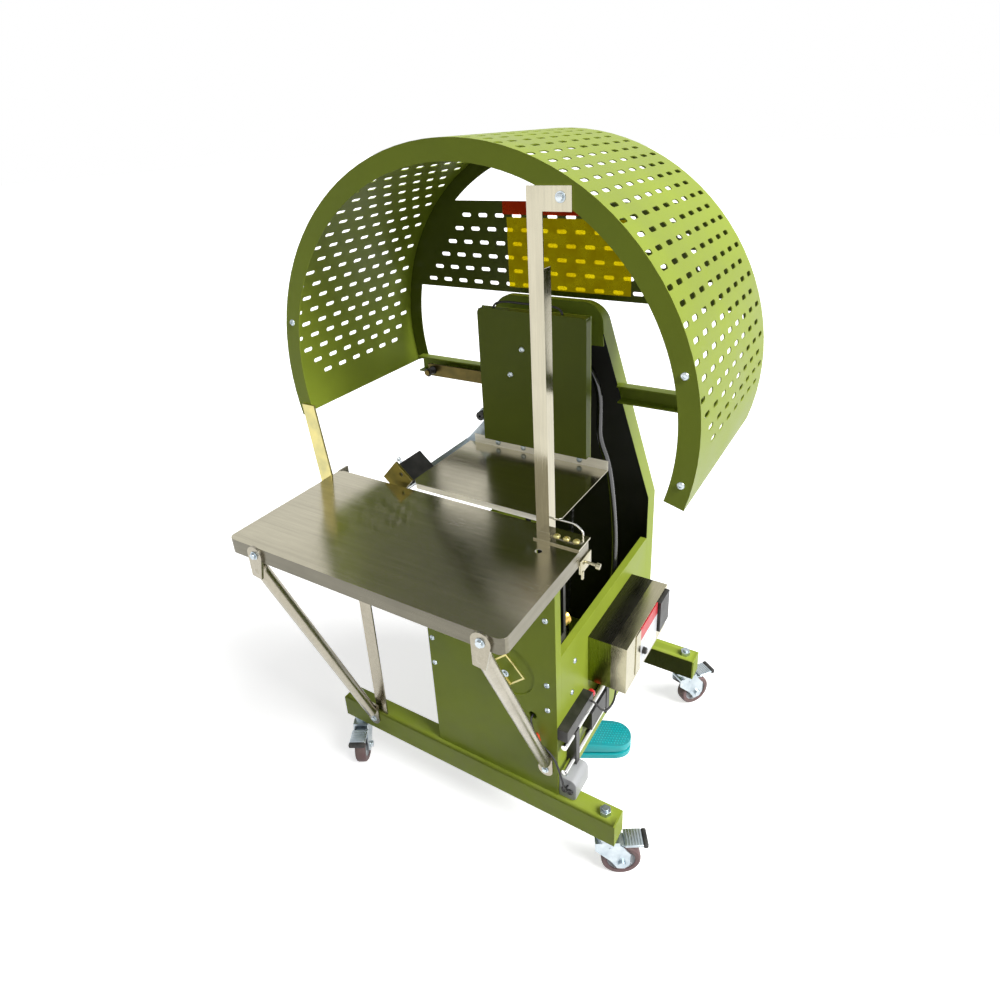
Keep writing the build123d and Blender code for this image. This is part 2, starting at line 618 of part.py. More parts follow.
def make_side_panels():
    y0, y1 = PANEL_RETURN, PEDESTAL_DEPTH - COLUMN_FLANGE
    inner = HALF_WIDTH - SHEET
    right = block(inner, HALF_WIDTH, y0, y1, FOOT_TOP_Z, SIDE_TOP_Z)
    right += block(HALF_WIDTH - SIDE_LIP, HALF_WIDTH, y0, y1, SIDE_TOP_Z - SHEET, SIDE_TOP_Z)
    right = cut_all(right, bores(SIDE_SCREWS, OUT_RIGHT, SCREW_R, 8))
    nodes["right_side_panel"] = [right]
    left = plate_yz([(y0, FOOT_TOP_Z), (y1, FOOT_TOP_Z), (y1, SHOULDER_Z), (y0 + LEFT_CORNER[0], SHOULDER_Z),
                     (y0, SHOULDER_Z - LEFT_CORNER[1])], -HALF_WIDTH, -inner)
    nodes["left_side_panel"] = [left]


def column_outline(inset):
    """The column's outline seen from the front, as (x, z), drawn in by inset."""
    w, t = HALF_WIDTH - inset, HALF_TOP - inset
    return [(-w, FOOT_TOP_Z), (w, FOOT_TOP_Z), (w, SHOULDER_Z), (t, COLUMN_TOP_Z - inset),
            (-t, COLUMN_TOP_Z - inset), (-w, SHOULDER_Z)]


def column_prism(inset, y0, y1):
    """The column's outline as a prism with two round top corners."""
    prism = plate_xz(column_outline(inset), y0, y1)
    return fillet(prism.edges().filter_by(Axis.Y).group_by(Axis.Z)[-1], COLUMN_CORNER_R - inset)


def make_column():
    deep = PEDESTAL_DEPTH + 50
    outer = column_prism(0, 0, deep)
    inner = column_prism(SHEET, -1, deep + 1)
    low, top = FOOT_TOP_Z, COLUMN_TOP_Z
    back_band = plate_yz([(PEDESTAL_DEPTH, low), (PEDESTAL_DEPTH, SHOULDER_Z), (COLUMN_TOP_BACK_Y, top),
                          (COLUMN_TOP_BACK_Y - SHEET, top), (PEDESTAL_DEPTH - SHEET, SHOULDER_Z),
                          (PEDESTAL_DEPTH - SHEET, low)], -HALF_WIDTH, HALF_WIDTH)
    flange_y = PEDESTAL_DEPTH - COLUMN_FLANGE
    meets = SHOULDER_Z + (flange_y - COLUMN_FRONT_Y) / LEAN
    right_side = plate_yz([(PEDESTAL_DEPTH, low), (PEDESTAL_DEPTH, SHOULDER_Z), (COLUMN_TOP_BACK_Y, top),
                           (COLUMN_FRONT_Y, top), (COLUMN_FRONT_Y, meets), (flange_y, SHOULDER_Z),
                           (flange_y, low)], -1, HALF_WIDTH + 1)
    left_side = plate_yz([(PEDESTAL_DEPTH, low), (PEDESTAL_DEPTH, SHOULDER_Z), (COLUMN_TOP_BACK_Y, top),
                          (COLUMN_FRONT_Y, top), (COLUMN_FRONT_Y, COLUMN_PLATE_LOW_Z),
                          (COLUMN_FRONT_Y + COLUMN_TOE, SHOULDER_Z), (flange_y, SHOULDER_Z),
                          (flange_y, low)], -HALF_WIDTH - 1, 1)
    back = (outer & back_band) + ((outer - inner) & (right_side + left_side))
    back -= block(-HALF_WIDTH, HALF_WIDTH, 0, deep, low - 5, low)
    nodes["column_back"] = [back]
    plate_back_y = COLUMN_FRONT_Y + COLUMN_PLATE
    plate = column_prism(SHEET, COLUMN_FRONT_Y, plate_back_y)
    plate &= block(-HALF_WIDTH, HALF_WIDTH, COLUMN_FRONT_Y, plate_back_y, COLUMN_PLATE_LOW_Z, COLUMN_TOP_Z)
    plate -= block(COLUMN_OPEN_X, HALF_WIDTH, COLUMN_FRONT_Y - 1, plate_back_y + 1, COLUMN_PLATE_LOW_Z - 1,
                   COLUMN_TOP_Z - COLUMN_OPEN_DROP)
    plate -= along_y(0, AXIS_Z, COLUMN_FRONT_Y - 1, COLUMN_FRONT_Y + COLUMN_PLATE + 1, SHAFT_R + RUNNING)
    nodes["column_plate"] = [plate]
    pan = block(-HALF_WIDTH + SHEET, HALF_WIDTH - SHEET, SHEET, PEDESTAL_DEPTH - SHEET, FOOT_TOP_Z,
                FOOT_TOP_Z + PAN_THICK)
    nodes["base_pan"] = [pan]


def make_head():
    y0, y1 = HEAD_PLATE_Y, HEAD_PLATE_Y + HEAD_PLATE
    half, tongue = HEAD_WIDTH / 2, TONGUE_WIDTH / 2
    low = TABLE_Z - REAR_TABLE_LIP
    plate = plate_xz([(-half, low), (-tongue, low), (-tongue, TONGUE_LOW_Z), (tongue, TONGUE_LOW_Z),
                      (tongue, low), (half, low), (half, HEAD_TOP_Z), (-half, HEAD_TOP_Z)], y0, y1)
    plate += along_y(0, AXIS_Z, y0 - 6, COLUMN_FRONT_Y + COLUMN_PLATE + SHAFT_FLANGE + 6, SHAFT_R)
    back = COLUMN_FRONT_Y + COLUMN_PLATE
    plate += along_y(0, AXIS_Z, back, back + SHAFT_FLANGE, SHAFT_FLANGE_R)
    plate -= along_y(0, AXIS_Z, y0 - 7, back + SHAFT_FLANGE + 7, SHAFT_BORE_R)
    plate = cut_all(plate, bores(UPSTAND_SCREWS, OUT_FRONT, SCREW_R, 12))
    plate = cut_all(plate, bores(HEAD_SCREWS, OUT_FRONT, SCREW_R, HEAD_DEPTH + 8))
    nodes["centre_shaft"] = [plate]
    front = HEAD_PLATE_Y - HEAD_DEPTH
    cover = block(-half, half, front, HEAD_PLATE_Y, HEAD_LOW_Z, HEAD_TOP_Z)
    wall = TABLE_SHEET
    cover -= block(-half + wall, half - wall, front + wall, HEAD_PLATE_Y + 1, HEAD_LOW_Z + wall,
                   HEAD_TOP_Z - wall)
    cover = cut_all(cover, bores(HEAD_SCREWS, OUT_FRONT, SCREW_R, HEAD_DEPTH + 8))
    nodes["head_cover"] = [cover]


# ---------------------------------------------------------------- rotary arm and drive
def radial_block(r0, r1, width, y0, y1, side=0.0):
    """A block that lies along the arm's radius, between two radii and two y values."""
    bar = Pos((r0 + r1) / 2, (y0 + y1) / 2, side) * Box(r1 - r0, y1 - y0, width)
    return Pos(0, 0, AXIS_Z) * Rot(0, -ARM_ANGLE, 0) * bar


def arm_point(radius, side):
    a = math.radians(ARM_ANGLE)
    return radius * math.cos(a) - side * math.sin(a), AXIS_Z + radius * math.sin(a) + side * math.cos(a)


def make_arm():
    tip_back = TIP_FRONT_Y + TIP_THICK
    arm = along_y(0, AXIS_Z, HUB_FRONT_Y, HUB_BACK_Y, HUB_R)
    sprocket_front = CHAIN_Y - SPROCKET_THICK / 2
    arm += along_y(0, AXIS_Z, ARM_WEB_Y, sprocket_front, HUB_FLANGE_R)
    web_end = math.sqrt(ARM_REACH ** 2 - (ARM_WEB_SIDE + ARM_WEB_WIDTH / 2) ** 2)
    arm += radial_block(0, web_end, ARM_WEB_WIDTH, ARM_WEB_Y, ARM_WEB_BACK_Y, ARM_WEB_SIDE)
    bar_place = (ARM_REACH - ARM_BAR, ARM_REACH, ARM_BAR_WIDTH)
    arm += radial_block(*bar_place, tip_back, ARM_WEB_BACK_Y, ARM_BAR_SIDE)
    side = ARM_ROLLER_AT_SIDE
    ear = radial_block(ARM_ROLLER_RADIUS_AT - 9, ARM_ROLLER_RADIUS_AT + 9, 18 + ARM_WEB_WIDTH / 2,
                       ARM_WEB_BACK_Y - 3, ARM_WEB_BACK_Y, side + ARM_ROLLER_SIDE / 2 - 7)
    arm += ear
    pin_x, pin_z = arm_point(ARM_ROLLER_RADIUS_AT, side)
    arm += along_y(pin_x, pin_z, ARM_WEB_BACK_Y - 3 - ARM_ROLLER_LENGTH - LOOSE, ARM_WEB_BACK_Y,
                   ARM_ROLLER_PIN_R)
    arm -= along_y(0, AXIS_Z, HUB_FRONT_Y - 1, HUB_BACK_Y + 1, SHAFT_R + RUNNING)
    nodes["rope_arm"] = [arm]
    roller_back = ARM_WEB_BACK_Y - 3 - LOOSE
    roller = along_y(pin_x, pin_z, roller_back - ARM_ROLLER_LENGTH, roller_back, ARM_ROLLER_R)
    roller -= along_y(pin_x, pin_z, roller_back - ARM_ROLLER_LENGTH - 1, roller_back + 1,
                      ARM_ROLLER_PIN_R + RUNNING)
    nodes["arm_roller"] = [roller]
    tip = radial_block(TIP_INNER_R, ARM_REACH, TIP_WIDTH, TIP_FRONT_Y, tip_back)
    eye_x, eye_z = arm_point(TIP_INNER_R + 10, 0)
    tip -= along_y(eye_x, eye_z, TIP_FRONT_Y - 1, tip_back + 1, 4)
    nodes["arm_tip"] = [tip]
    block_end = BLOCK_START_Y + BLOCK_LENGTH
    guide = radial_block(BLOCK_INNER_R, BLOCK_OUTER_R, BLOCK_WIDTH, BLOCK_START_Y, block_end)
    guide -= radial_block(*bar_place, BLOCK_START_Y - 1, block_end + 1, ARM_BAR_SIDE)
    nodes["arm_guide_block"] = [guide]
    disc = along_y(0, AXIS_Z, sprocket_front, sprocket_front + SPROCKET_THICK, ARM_SPROCKET_R)
    disc -= along_y(0, AXIS_Z, sprocket_front - 1, sprocket_front + SPROCKET_THICK + 1, HUB_R)
    nodes["arm_sprocket"] = [disc]


def belt_outline(grow):
    """A face in the XZ plane round both sprockets, with straight tangents, drawn out by grow."""
    r_top, r_low = ARM_SPROCKET_R + grow, DRIVE_SPROCKET_R + grow
    gap = math.hypot(GEARBOX_X, AXIS_Z - GEARBOX_Z)
    tilt = math.asin((r_top - r_low) / gap)
    across, down = math.cos(tilt), math.sin(tilt)
    top_z, low_z = AXIS_Z - r_top * down, GEARBOX_Z - r_low * down
    corners = [(r_top * across, top_z), (GEARBOX_X + r_low * across, low_z),
               (GEARBOX_X - r_low * across, low_z), (-r_top * across, top_z)]
    face = make_face(Polyline(*corners, close=True))
    face = face + Pos(0, AXIS_Z) * Circle(r_top) + Pos(GEARBOX_X, GEARBOX_Z) * Circle(r_low)
    return Plane(origin=(0, 0, 0), x_dir=(1, 0, 0), z_dir=(0, -1, 0)) * face


def make_drive():
    inner, outer = belt_outline(CHAIN_GAP), belt_outline(CHAIN_GAP + CHAIN_DEPTH)
    chain = extrude(outer, CHAIN_WIDTH, dir=(0, 1, 0)) - extrude(inner, CHAIN_WIDTH, dir=(0, 1, 0))
    nodes["drive_chain"] = [Pos(0, CHAIN_Y - CHAIN_WIDTH / 2, 0) * chain]
    half = GEARBOX_WIDTH / 2
    front = GEARBOX_BACK_Y - GEARBOX_DEPTH
    back, pan = GEARBOX_BACK_Y, FOOT_TOP_Z + PAN_THICK
    case = block(GEARBOX_X - half, GEARBOX_X + half, front, back, GEARBOX_Z - half, GEARBOX_Z + half)
    wide = half + STAND_FOOT
    case += block(GEARBOX_X - wide, GEARBOX_X + wide, front, back, pan, pan + STAND_PLATE)
    for x in (GEARBOX_X - half, GEARBOX_X + half - STAND_LEG):
        case += block(x, x + STAND_LEG, front, back, pan, GEARBOX_Z - half)
    case -= along_y(GEARBOX_X, GEARBOX_Z, back - DRIVE_SHAFT_DEPTH, back + 1, DRIVE_SHAFT_R + RUNNING)
    nodes["gearbox"] = [case]
    sprocket_front = CHAIN_Y - SPROCKET_THICK / 2
    sprocket_back = sprocket_front + SPROCKET_THICK
    drive = along_y(GEARBOX_X, GEARBOX_Z, sprocket_front, sprocket_back, DRIVE_SPROCKET_R)
    drive += along_y(GEARBOX_X, GEARBOX_Z, back - DRIVE_SHAFT_DEPTH + LOOSE, sprocket_back + 3, DRIVE_SHAFT_R)
    drive += along_y(GEARBOX_X, GEARBOX_Z, back + LOOSE, sprocket_front, DRIVE_HUB_R)
    nodes["drive_sprocket"] = [drive]
    x1 = GEARBOX_X - half
    axis_y = GEARBOX_BACK_Y - GEARBOX_DEPTH / 2
    motor = rod((x1 - MOTOR_LENGTH, axis_y, GEARBOX_Z), (x1, axis_y, GEARBOX_Z), MOTOR_R)
    nodes["motor"] = [motor]


# ---------------------------------------------------------------- tables and their supports
def make_front_table():
    x0, x1 = FRONT_TABLE_LEFT_X, FRONT_TABLE_RIGHT_X
    y0, y1 = FRONT_TABLE_FRONT_Y, FRONT_TABLE_BACK_Y
    low = TABLE_Z - FRONT_TABLE_FLANGE
    width, depth = x1 - x0, y1 - y0
    at = Pos((x0 + x1) / 2, (y0 + y1) / 2, low)
    table = at * extrude(RectangleRounded(width, depth, TABLE_CORNER_R), FRONT_TABLE_FLANGE)
    wall = TABLE_SHEET
    inside = RectangleRounded(width - 2 * wall, depth - 2 * wall, TABLE_CORNER_R - wall)
    table -= at * Pos(0, 0, -1) * extrude(inside, FRONT_TABLE_FLANGE + 1 - wall)
    hx, hy = x1 - TABLE_HOLE_IN[0], y1 - TABLE_HOLE_IN[1]
    table -= rod((hx, hy, TABLE_UNDER_Z - 1), (hx, hy, TABLE_Z + 1), TABLE_HOLE_R)
    for side in (-1, 1):
        x = side * BRACKET_X
        inner_x = x - side * BRACKET_THICK
        table += block(*sorted((x, inner_x)), -BRACKET_DEPTH, 0, BRACKET_LOW_Z, TABLE_UNDER_Z)
        table += block(*sorted((x, x - side * BRACKET_FOOT)), -BRACKET_THICK, 0, BRACKET_LOW_Z, PANEL_TOP_Z)
    gap = block(-BRACKET_X - 1, BRACKET_X + 1, FRONT_TABLE_BACK_Y, 1, PANEL_TOP_Z, TABLE_Z)
    table -= gap
    table = cut_all(table, bores(BRACKET_SCREWS, OUT_FRONT, SCREW_R, 12))
    table = cut_all(table, bores(STRUT_TOP, OUT_FRONT, BOLT_R, 12))
    table = cut_all(table, bores([LEG_BOLT], OUT_BACK, BOLT_R, 12))
    nodes["front_table"] = [table]


def make_rear_table():
    x0, x1 = REAR_TABLE_LEFT_X, REAR_TABLE_RIGHT_X
    y0, y1 = REAR_TABLE_FRONT_Y, HEAD_PLATE_Y
    table = block(x0, x1, y0, y1, TABLE_UNDER_Z, TABLE_Z)
    cut = REAR_TABLE_CORNER
    table += block(x0 + cut, x1 - cut, y0, y0 + TABLE_SHEET, TABLE_Z - REAR_TABLE_LIP, TABLE_Z)
    table += block(x0 + cut, x1, y1 - TABLE_SHEET, y1, TABLE_UNDER_Z, TABLE_Z + REAR_TABLE_UPSTAND)
    for x, inward in ((x0, 1), (x1, -1)):
        corner = make_face(Polyline((x, y0, 0), (x + inward * cut, y0, 0), (x, y0 + cut, 0), close=True))
        table -= Pos(0, 0, TABLE_Z - REAR_TABLE_LIP) * extrude(corner, 2 * REAR_TABLE_LIP, dir=(0, 0, 1))
    low = TONGUE_LOW_Z + GUSSET_EDGE
    gusset = plate_yz([(y1, TABLE_UNDER_Z), (y1, low), (y1 - GUSSET_TOE, low),
                       (y0 + GUSSET_START, TABLE_UNDER_Z)], -TABLE_SHEET, TABLE_SHEET)
    table += gusset
    table = cut_all(table, bores(UPSTAND_SCREWS, OUT_FRONT, SCREW_R, 12))
    nodes["rear_table"] = [table]


def flat_end(bolt, toward, y0, y1):
    """A flattened tube end: a round-ended plate from the bolt towards the tube, in an XZ plane."""
    bx, bz = bolt
    dx, dz = toward[0] - bx, toward[1] - bz
    span = math.hypot(dx, dz)
    ux, uz = dx / span, dz / span
    half = STRUT_PLATE_WIDTH / 2
    ex, ez = bx + ux * (STRUT_END + 12), bz + uz * (STRUT_END + 12)
    end = STRUT_R * 0.9
    outline = [(bx - uz * half, bz + ux * half), (ex - uz * end, ez + ux * end),
               (ex + uz * end, ez - ux * end), (bx + uz * half, bz - ux * half)]
    return plate_xz(outline, y0, y1) + along_y(bx, bz, y0, y1, half)


def make_supports():
    solids = []
    for top, low in zip(STRUT_TOP, STRUT_LOW):
        face_top = FRONT_TABLE_FRONT_Y
        a = Vector(top[0], face_top + STRUT_R / 2, top[2])
        b = Vector(low[0], low[1] - STRUT_R, low[2])
        flat_run = Vector(low[0] - top[0], 0, low[2] - top[2]).normalized()
        start, end = a + flat_run * STRUT_END, b - flat_run * STRUT_END
        strut = rod(start, end, STRUT_R) + Pos(*start) * Sphere(STRUT_R) + Pos(*end) * Sphere(STRUT_R)
        strut -= rod(start, end, STRUT_R - STRUT_WALL)
        strut += flat_end((top[0], top[2]), (low[0], low[2]), face_top - STRUT_PLATE, face_top)
        strut += flat_end((low[0], low[2]), (top[0], top[2]), low[1] - STRUT_PLATE, low[1])
        strut = cut_all(strut, bores([top], OUT_FRONT, BOLT_R, 12))
        strut = cut_all(strut, bores([(low[0], low[1] - STRUT_PLATE, low[2])], OUT_FRONT, BOLT_R, 12))
        solids.append(strut)
    x0, x1 = LEG_X - LEG_WIDTH / 2, LEG_X + LEG_WIDTH / 2
    y0 = FRONT_TABLE_BACK_Y
    top = TABLE_Z - LEG_TOP_GAP
    leg = block(x0, x1, y0, y0 + LEG_SHEET, FOOT_TOP_Z, top)
    leg += block(x0, x0 + LEG_SHEET, y0, y0 + LEG_FLANGE, FOOT_TOP_Z, top)
    leg = cut_all(leg, bores([(LEG_X, y0 + LEG_SHEET, TABLE_BOLT_Z)], OUT_BACK, BOLT_R, 12))
    solids.append(leg)
    nodes["table_supports"] = solids


# ---------------------------------------------------------------- guard
def sector(r_in, r_out, y0, y1):
    """The part of a ring about the arm's axis that the guard covers."""
    ring = along_y(0, AXIS_Z, y0, y1, r_out) - along_y(0, AXIS_Z, y0 - 1, y1 + 1, r_in)
    reach = 3 * r_out
    a, b = math.radians(GUARD_DROOP_RIGHT), math.radians(GUARD_DROOP_LEFT)
    right, left = (reach * math.cos(a), -reach * math.sin(a)), (-reach * math.cos(b), -reach * math.sin(b))
    corners = [(0, 0), right, (right[0], -reach), (left[0], -reach), left]
    wedge = plate_xz([(x, AXIS_Z + z) for x, z in corners], y0 - 2, y1 + 2)
    return ring - wedge


def guard_slots():
    """Prisms for the sheet's openings, long from front to back, in a plain grid round the arc."""
    first, last = PLAIN_RIGHT - GUARD_DROOP_RIGHT, 180 + GUARD_DROOP_LEFT - PLAIN_LEFT
    tools = []
    for column in range(SLOT_COLUMNS):
        a = math.radians(first + (last - first) * (column + 0.5) / SLOT_COLUMNS)
        for row in range(SLOT_ROWS):
            y = GUARD_FRONT_Y + GUARD_DEPTH * (row + 0.5) / SLOT_ROWS
            middle = (GUARD_R * math.cos(a), y, AXIS_Z + GUARD_R * math.sin(a))
            plane = Plane(origin=middle, x_dir=(0, 1, 0), z_dir=(math.cos(a), 0, math.sin(a)))
            tools.append(extrude(plane * Rectangle(SLOT_LENGTH, SLOT_WIDTH), 3 * GUARD_SHEET, both=True))
    return tools


def make_guard():
    inner = GUARD_R - GUARD_SHEET
    nodes["guard_sheet"] = [sector(inner, GUARD_R, GUARD_FRONT_Y, GUARD_BACK_Y) - guard_slots()]
    front = sector(RIM_INNER_R, inner, GUARD_FRONT_Y, GUARD_FRONT_Y + RIM_THICK)
    front = cut_all(front, bores(RIM_SCREWS, OUT_FRONT, SCREW_R, 8))
    front = cut_all(front, bores([TAB_BOLT], OUT_FRONT, BOLT_R, 8))
    nodes["guard_front_rim"] = [front]
    y0, y1 = GUARD_BACK_Y - RIM_THICK, GUARD_BACK_Y
    band = along_y(0, AXIS_Z, y0, y1, inner)
    band &= block(-GUARD_R, GUARD_R, y0 - 1, y1 + 1, BAND_LOW_Z, BAND_TOP_Z)
    nodes["guard_rear_panel"] = [sector(RIM_INNER_R, inner, y0, y1) + band]
    films = []
    for left, right, low, high in (LARGE_FILM, SMALL_FILM):
        films.append(block(left, right, y0 - FILM, y0, BAND_LOW_Z + low, BAND_LOW_Z + high))
    nodes["guard_films"] = films
    column = plate_xz(column_outline(0), 0, 2 * GUARD_BACK_Y)
    bars = []
    z0, z1 = CROSSBAR_Z - CROSSBAR_HEIGHT / 2, CROSSBAR_Z + CROSSBAR_HEIGHT / 2
    for ends in ((-CROSSBAR_END_X, 0), (0, CROSSBAR_END_X)):
        bar = block(*ends, y0 - CROSSBAR_DEPTH, y0, z0, z1)
        wall = CROSSBAR_WALL
        bar -= block(ends[0] - 1, ends[1] + 1, y0 - CROSSBAR_DEPTH - 1, y0 - wall, z0 + wall, z1 - wall)
        bars.append(bar - column)
    nodes["guard_crossbars"] = bars


def make_post():
    y1 = GUARD_FRONT_Y
    y0 = y1 - POST_SHEET
    low = TABLE_Z + POST_FOOT_THICK
    x1 = POST_X + POST_WIDTH
    post = block(POST_X, x1, y0, y1, low, POST_TOP_Z)
    post += block(x1 - POST_SHEET, x1, y0, y0 + POST_DEPTH, low, POST_TOP_Z - POST_TAB_HEIGHT - POST_TAPER)
    post += block(POST_X, POST_X + POST_TAB_WIDTH, y0, y1, POST_TOP_Z - POST_TAB_HEIGHT, POST_TOP_Z)
    fx0, fx1, fy0, fy1 = POST_FOOT
    foot = block(fx0, fx1, fy0, fy1, TABLE_Z, low)
    post += foot + block(POST_X, fx0 + 1, y0, y0 + POST_DEPTH, TABLE_Z, low)
    post = cut_all(post, bores([TAB_BOLT], OUT_FRONT, BOLT_R, 8))
    post = cut_all(post, bores(FOOT_PLATE_SCREWS, OUT_UP, SCREW_R, 6))
    back, left, right = fy1 - 6, fx0 + 6, fx1 - 9
    wire = tube_path([(right, back, low), (right, back, low + 10), (right - 14, back + 4, low + 17),
                      (left + 12, back + 4, low + 17), (left, back, low + 10), (left, back, low)],
                     GUIDE_WIRE_R)
    nodes["guard_post"] = [post, wire]
    t, w = SIDE_STRUT_THICK, SIDE_STRUT_WIDTH
    edge = FRONT_TABLE_LEFT_X
    low, bend = TABLE_BOLT_Z - SIDE_STRUT_DROP, TABLE_Z
    top, top_x = bend + SIDE_STRUT_RISE, edge - SIDE_STRUT_SHIFT
    strut = plate_xz([(edge - w, low), (edge, low), (edge, bend), (top_x, top), (top_x - w, top)], y1 - t, y1)
    strut += block(edge - t, edge, y1 - SIDE_STRUT_TAB, y1, low, TABLE_UNDER_Z)
    nodes["guard_side_strut"] = [strut]


# ---------------------------------------------------------------- rope guide bar
def make_guide_bar():
    y0, y1 = GUIDE_BAR_Y, GUIDE_BAR_Y + GUIDE_BAR_THICK
    z0, z1 = GUIDE_BAR_Z - GUIDE_BAR_HEIGHT / 2, GUIDE_BAR_Z + GUIDE_BAR_HEIGHT / 2
    reach, depth = GUIDE_BAR_TAB
    bar = block(GUIDE_BAR_END_X, GUIDE_BAR_ROOT_X, y0, y1, z0, z1)
    bar += block(-HALF_TOP - reach, GUIDE_BAR_ROOT_X, y0, y0 + depth, z0, z1)
    bar -= plate_xz(column_outline(0), 0, GUARD_BACK_Y)
    roller_x = GUIDE_BAR_END_X + GUIDE_ROLLER_R + 2
    length = GUIDE_ROLLER_LENGTH
    pin_end = y0 - length - 2 * LOOSE
    bar += along_y(roller_x, GUIDE_BAR_Z, pin_end, y0, GUIDE_ROLLER_PIN_R)
    bar += along_y(roller_x, GUIDE_BAR_Z, pin_end - 3, pin_end, GUIDE_ROLLER_PIN_R + 3)
    nodes["rope_guide_bar"] = [bar]
    roller = along_y(roller_x, GUIDE_BAR_Z, y0 - length - LOOSE, y0 - LOOSE, GUIDE_ROLLER_R)
    roller -= along_y(roller_x, GUIDE_BAR_Z, y0 - length - 2, y0, GUIDE_ROLLER_PIN_R + RUNNING)
    nodes["guide_bar_roller"] = [roller]


# ---------------------------------------------------------------- knotter
def make_knotter():
    y0, y1 = KNOTTER_PLATE_Y, KNOTTER_PLATE_Y + KNOTTER_PLATE
    x0, x1, z0, z1 = KNOTTER_LEFT_X, KNOTTER_RIGHT_X, KNOTTER_LOW_Z, KNOTTER_TOP_Z
    frame = block(x0, x1, y0, y1, z0, z1)
    right, left = KNOTTER_RAIL
    for z in (z0, z1 - 34):
        frame += block(x1 - right, x1, SHEET, y0, z, z + right)
        frame += block(x0, x0 + left, SHEET, y0, z, z + right)
    boss_low = CAM_Z - 2
    boss_top = boss_low + HOOK_BOSS
    frame += rod((HOOK_X, HOOK_Y, boss_low), (HOOK_X, HOOK_Y, boss_top), HOOK_BOSS_R)
    frame += block(HOOK_X - 6, HOOK_X + 6, HOOK_Y, y0, boss_low + 4, boss_top - 4)
    frame -= rod((HOOK_X, HOOK_Y, boss_low - 8), (HOOK_X, HOOK_Y, boss_top + 8), HOOK_R + RUNNING)
    frame -= along_y(CAM_X, CAM_Z, y0 - 1, y1 + 1, CAM_SHAFT_R + RUNNING)
    pin_end = y1 + ROPE_ROLLER_LENGTH + 2 * LOOSE
    frame += along_y(ROPE_ROLLER_X, ROPE_ROLLER_Z, y1, pin_end, ROPE_ROLLER_PIN_R)
    frame += along_y(ROPE_ROLLER_X, ROPE_ROLLER_Z, pin_end, pin_end + 4, ROPE_ROLLER_PIN_R + 4)
    nodes["knotter_frame"] = [frame]
    cam = along_y(CAM_X, CAM_Z, y1 + LOOSE, y1 + LOOSE + CAM_WIDTH, CAM_R - 6)
    cam += along_y(CAM_X + 8, CAM_Z + 4, y1 + LOOSE, y1 + LOOSE + CAM_WIDTH / 2, CAM_R - 8)
    cam += along_y(CAM_X, CAM_Z, y0 - 9, y1 + CAM_WIDTH + 12, CAM_SHAFT_R)
    cam += along_y(CAM_X, CAM_Z, y0 - 9, y0 - LOOSE, CAM_SHAFT_R + 5)
    nodes["knotter_cam"] = [cam]
    hook_low = boss_low - 4
    hook_top = hook_low + HOOK_LENGTH
    hook = rod((HOOK_X, HOOK_Y, hook_low), (HOOK_X, HOOK_Y, hook_top), HOOK_R)
    hook += rod((HOOK_X, HOOK_Y, boss_top + LOOSE), (HOOK_X, HOOK_Y, boss_top + 6), HOOK_R + 4)
    hook += rod((HOOK_X, HOOK_Y, boss_low - 6), (HOOK_X, HOOK_Y, boss_low - LOOSE), HOOK_R + 4)
    hook += block(HOOK_X - 4, HOOK_X + 4, HOOK_Y - HOOK_TIP, HOOK_Y + 4, hook_top - 4, hook_top + 3)
    nodes["tying_hook"] = [hook]
    roller = along_y(ROPE_ROLLER_X, ROPE_ROLLER_Z, y1 + LOOSE, y1 + LOOSE + ROPE_ROLLER_LENGTH, ROPE_ROLLER_R)
    roller -= along_y(ROPE_ROLLER_X, ROPE_ROLLER_Z, y1, pin_end + 1, ROPE_ROLLER_PIN_R + RUNNING)
    nodes["rope_roller"] = [roller]


# ---------------------------------------------------------------- control box, rods, button
def make_control_box():
    x0, x1 = HALF_WIDTH, BOX_FACE_X
    y0, y1 = BOX_FRONT_Y, BOX_FRONT_Y + BOX_LENGTH
    z0, z1 = BOX_LOW_Z, BOX_LOW_Z + BOX_HEIGHT
    box = block(x0, x1, y0, y1, z0, z1)
    w = BOX_SHEET
    box -= block(x0 + w, x1 - w, y0 + w, y1 - w, z0 + w, z1 - w)
    hole = rod((x1 - w - 1, KNOB_Y, KNOB_Z), (x1 + FACE_PLATE + 1, KNOB_Y, KNOB_Z), KNOB_SHAFT_R + RUNNING)
    box -= hole
    start, end = FACE_PLATE_ALONG
    low, high = FACE_PLATE_EDGE
    plate = block(x1, x1 + FACE_PLATE, y0 + start, y0 + end, z0 + low, z1 - high) - hole
    start, end = SOCKET_ALONG
    low, high = SOCKET_RISE
    socket = block(x1, x1 + SOCKET_DEPTH, y0 + start, y0 + end, z0 + low, z0 + high)
    nodes["control_box"] = [box, plate, socket]
    face = x1 + FACE_PLATE
    knob = rod((face + LOOSE, KNOB_Y, KNOB_Z), (face + LOOSE + KNOB_HEIGHT, KNOB_Y, KNOB_Z), KNOB_R)
    knob += rod((x1 - w - 6, KNOB_Y, KNOB_Z), (face + 2, KNOB_Y, KNOB_Z), KNOB_SHAFT_R)
    nodes["control_knob"] = [knob]


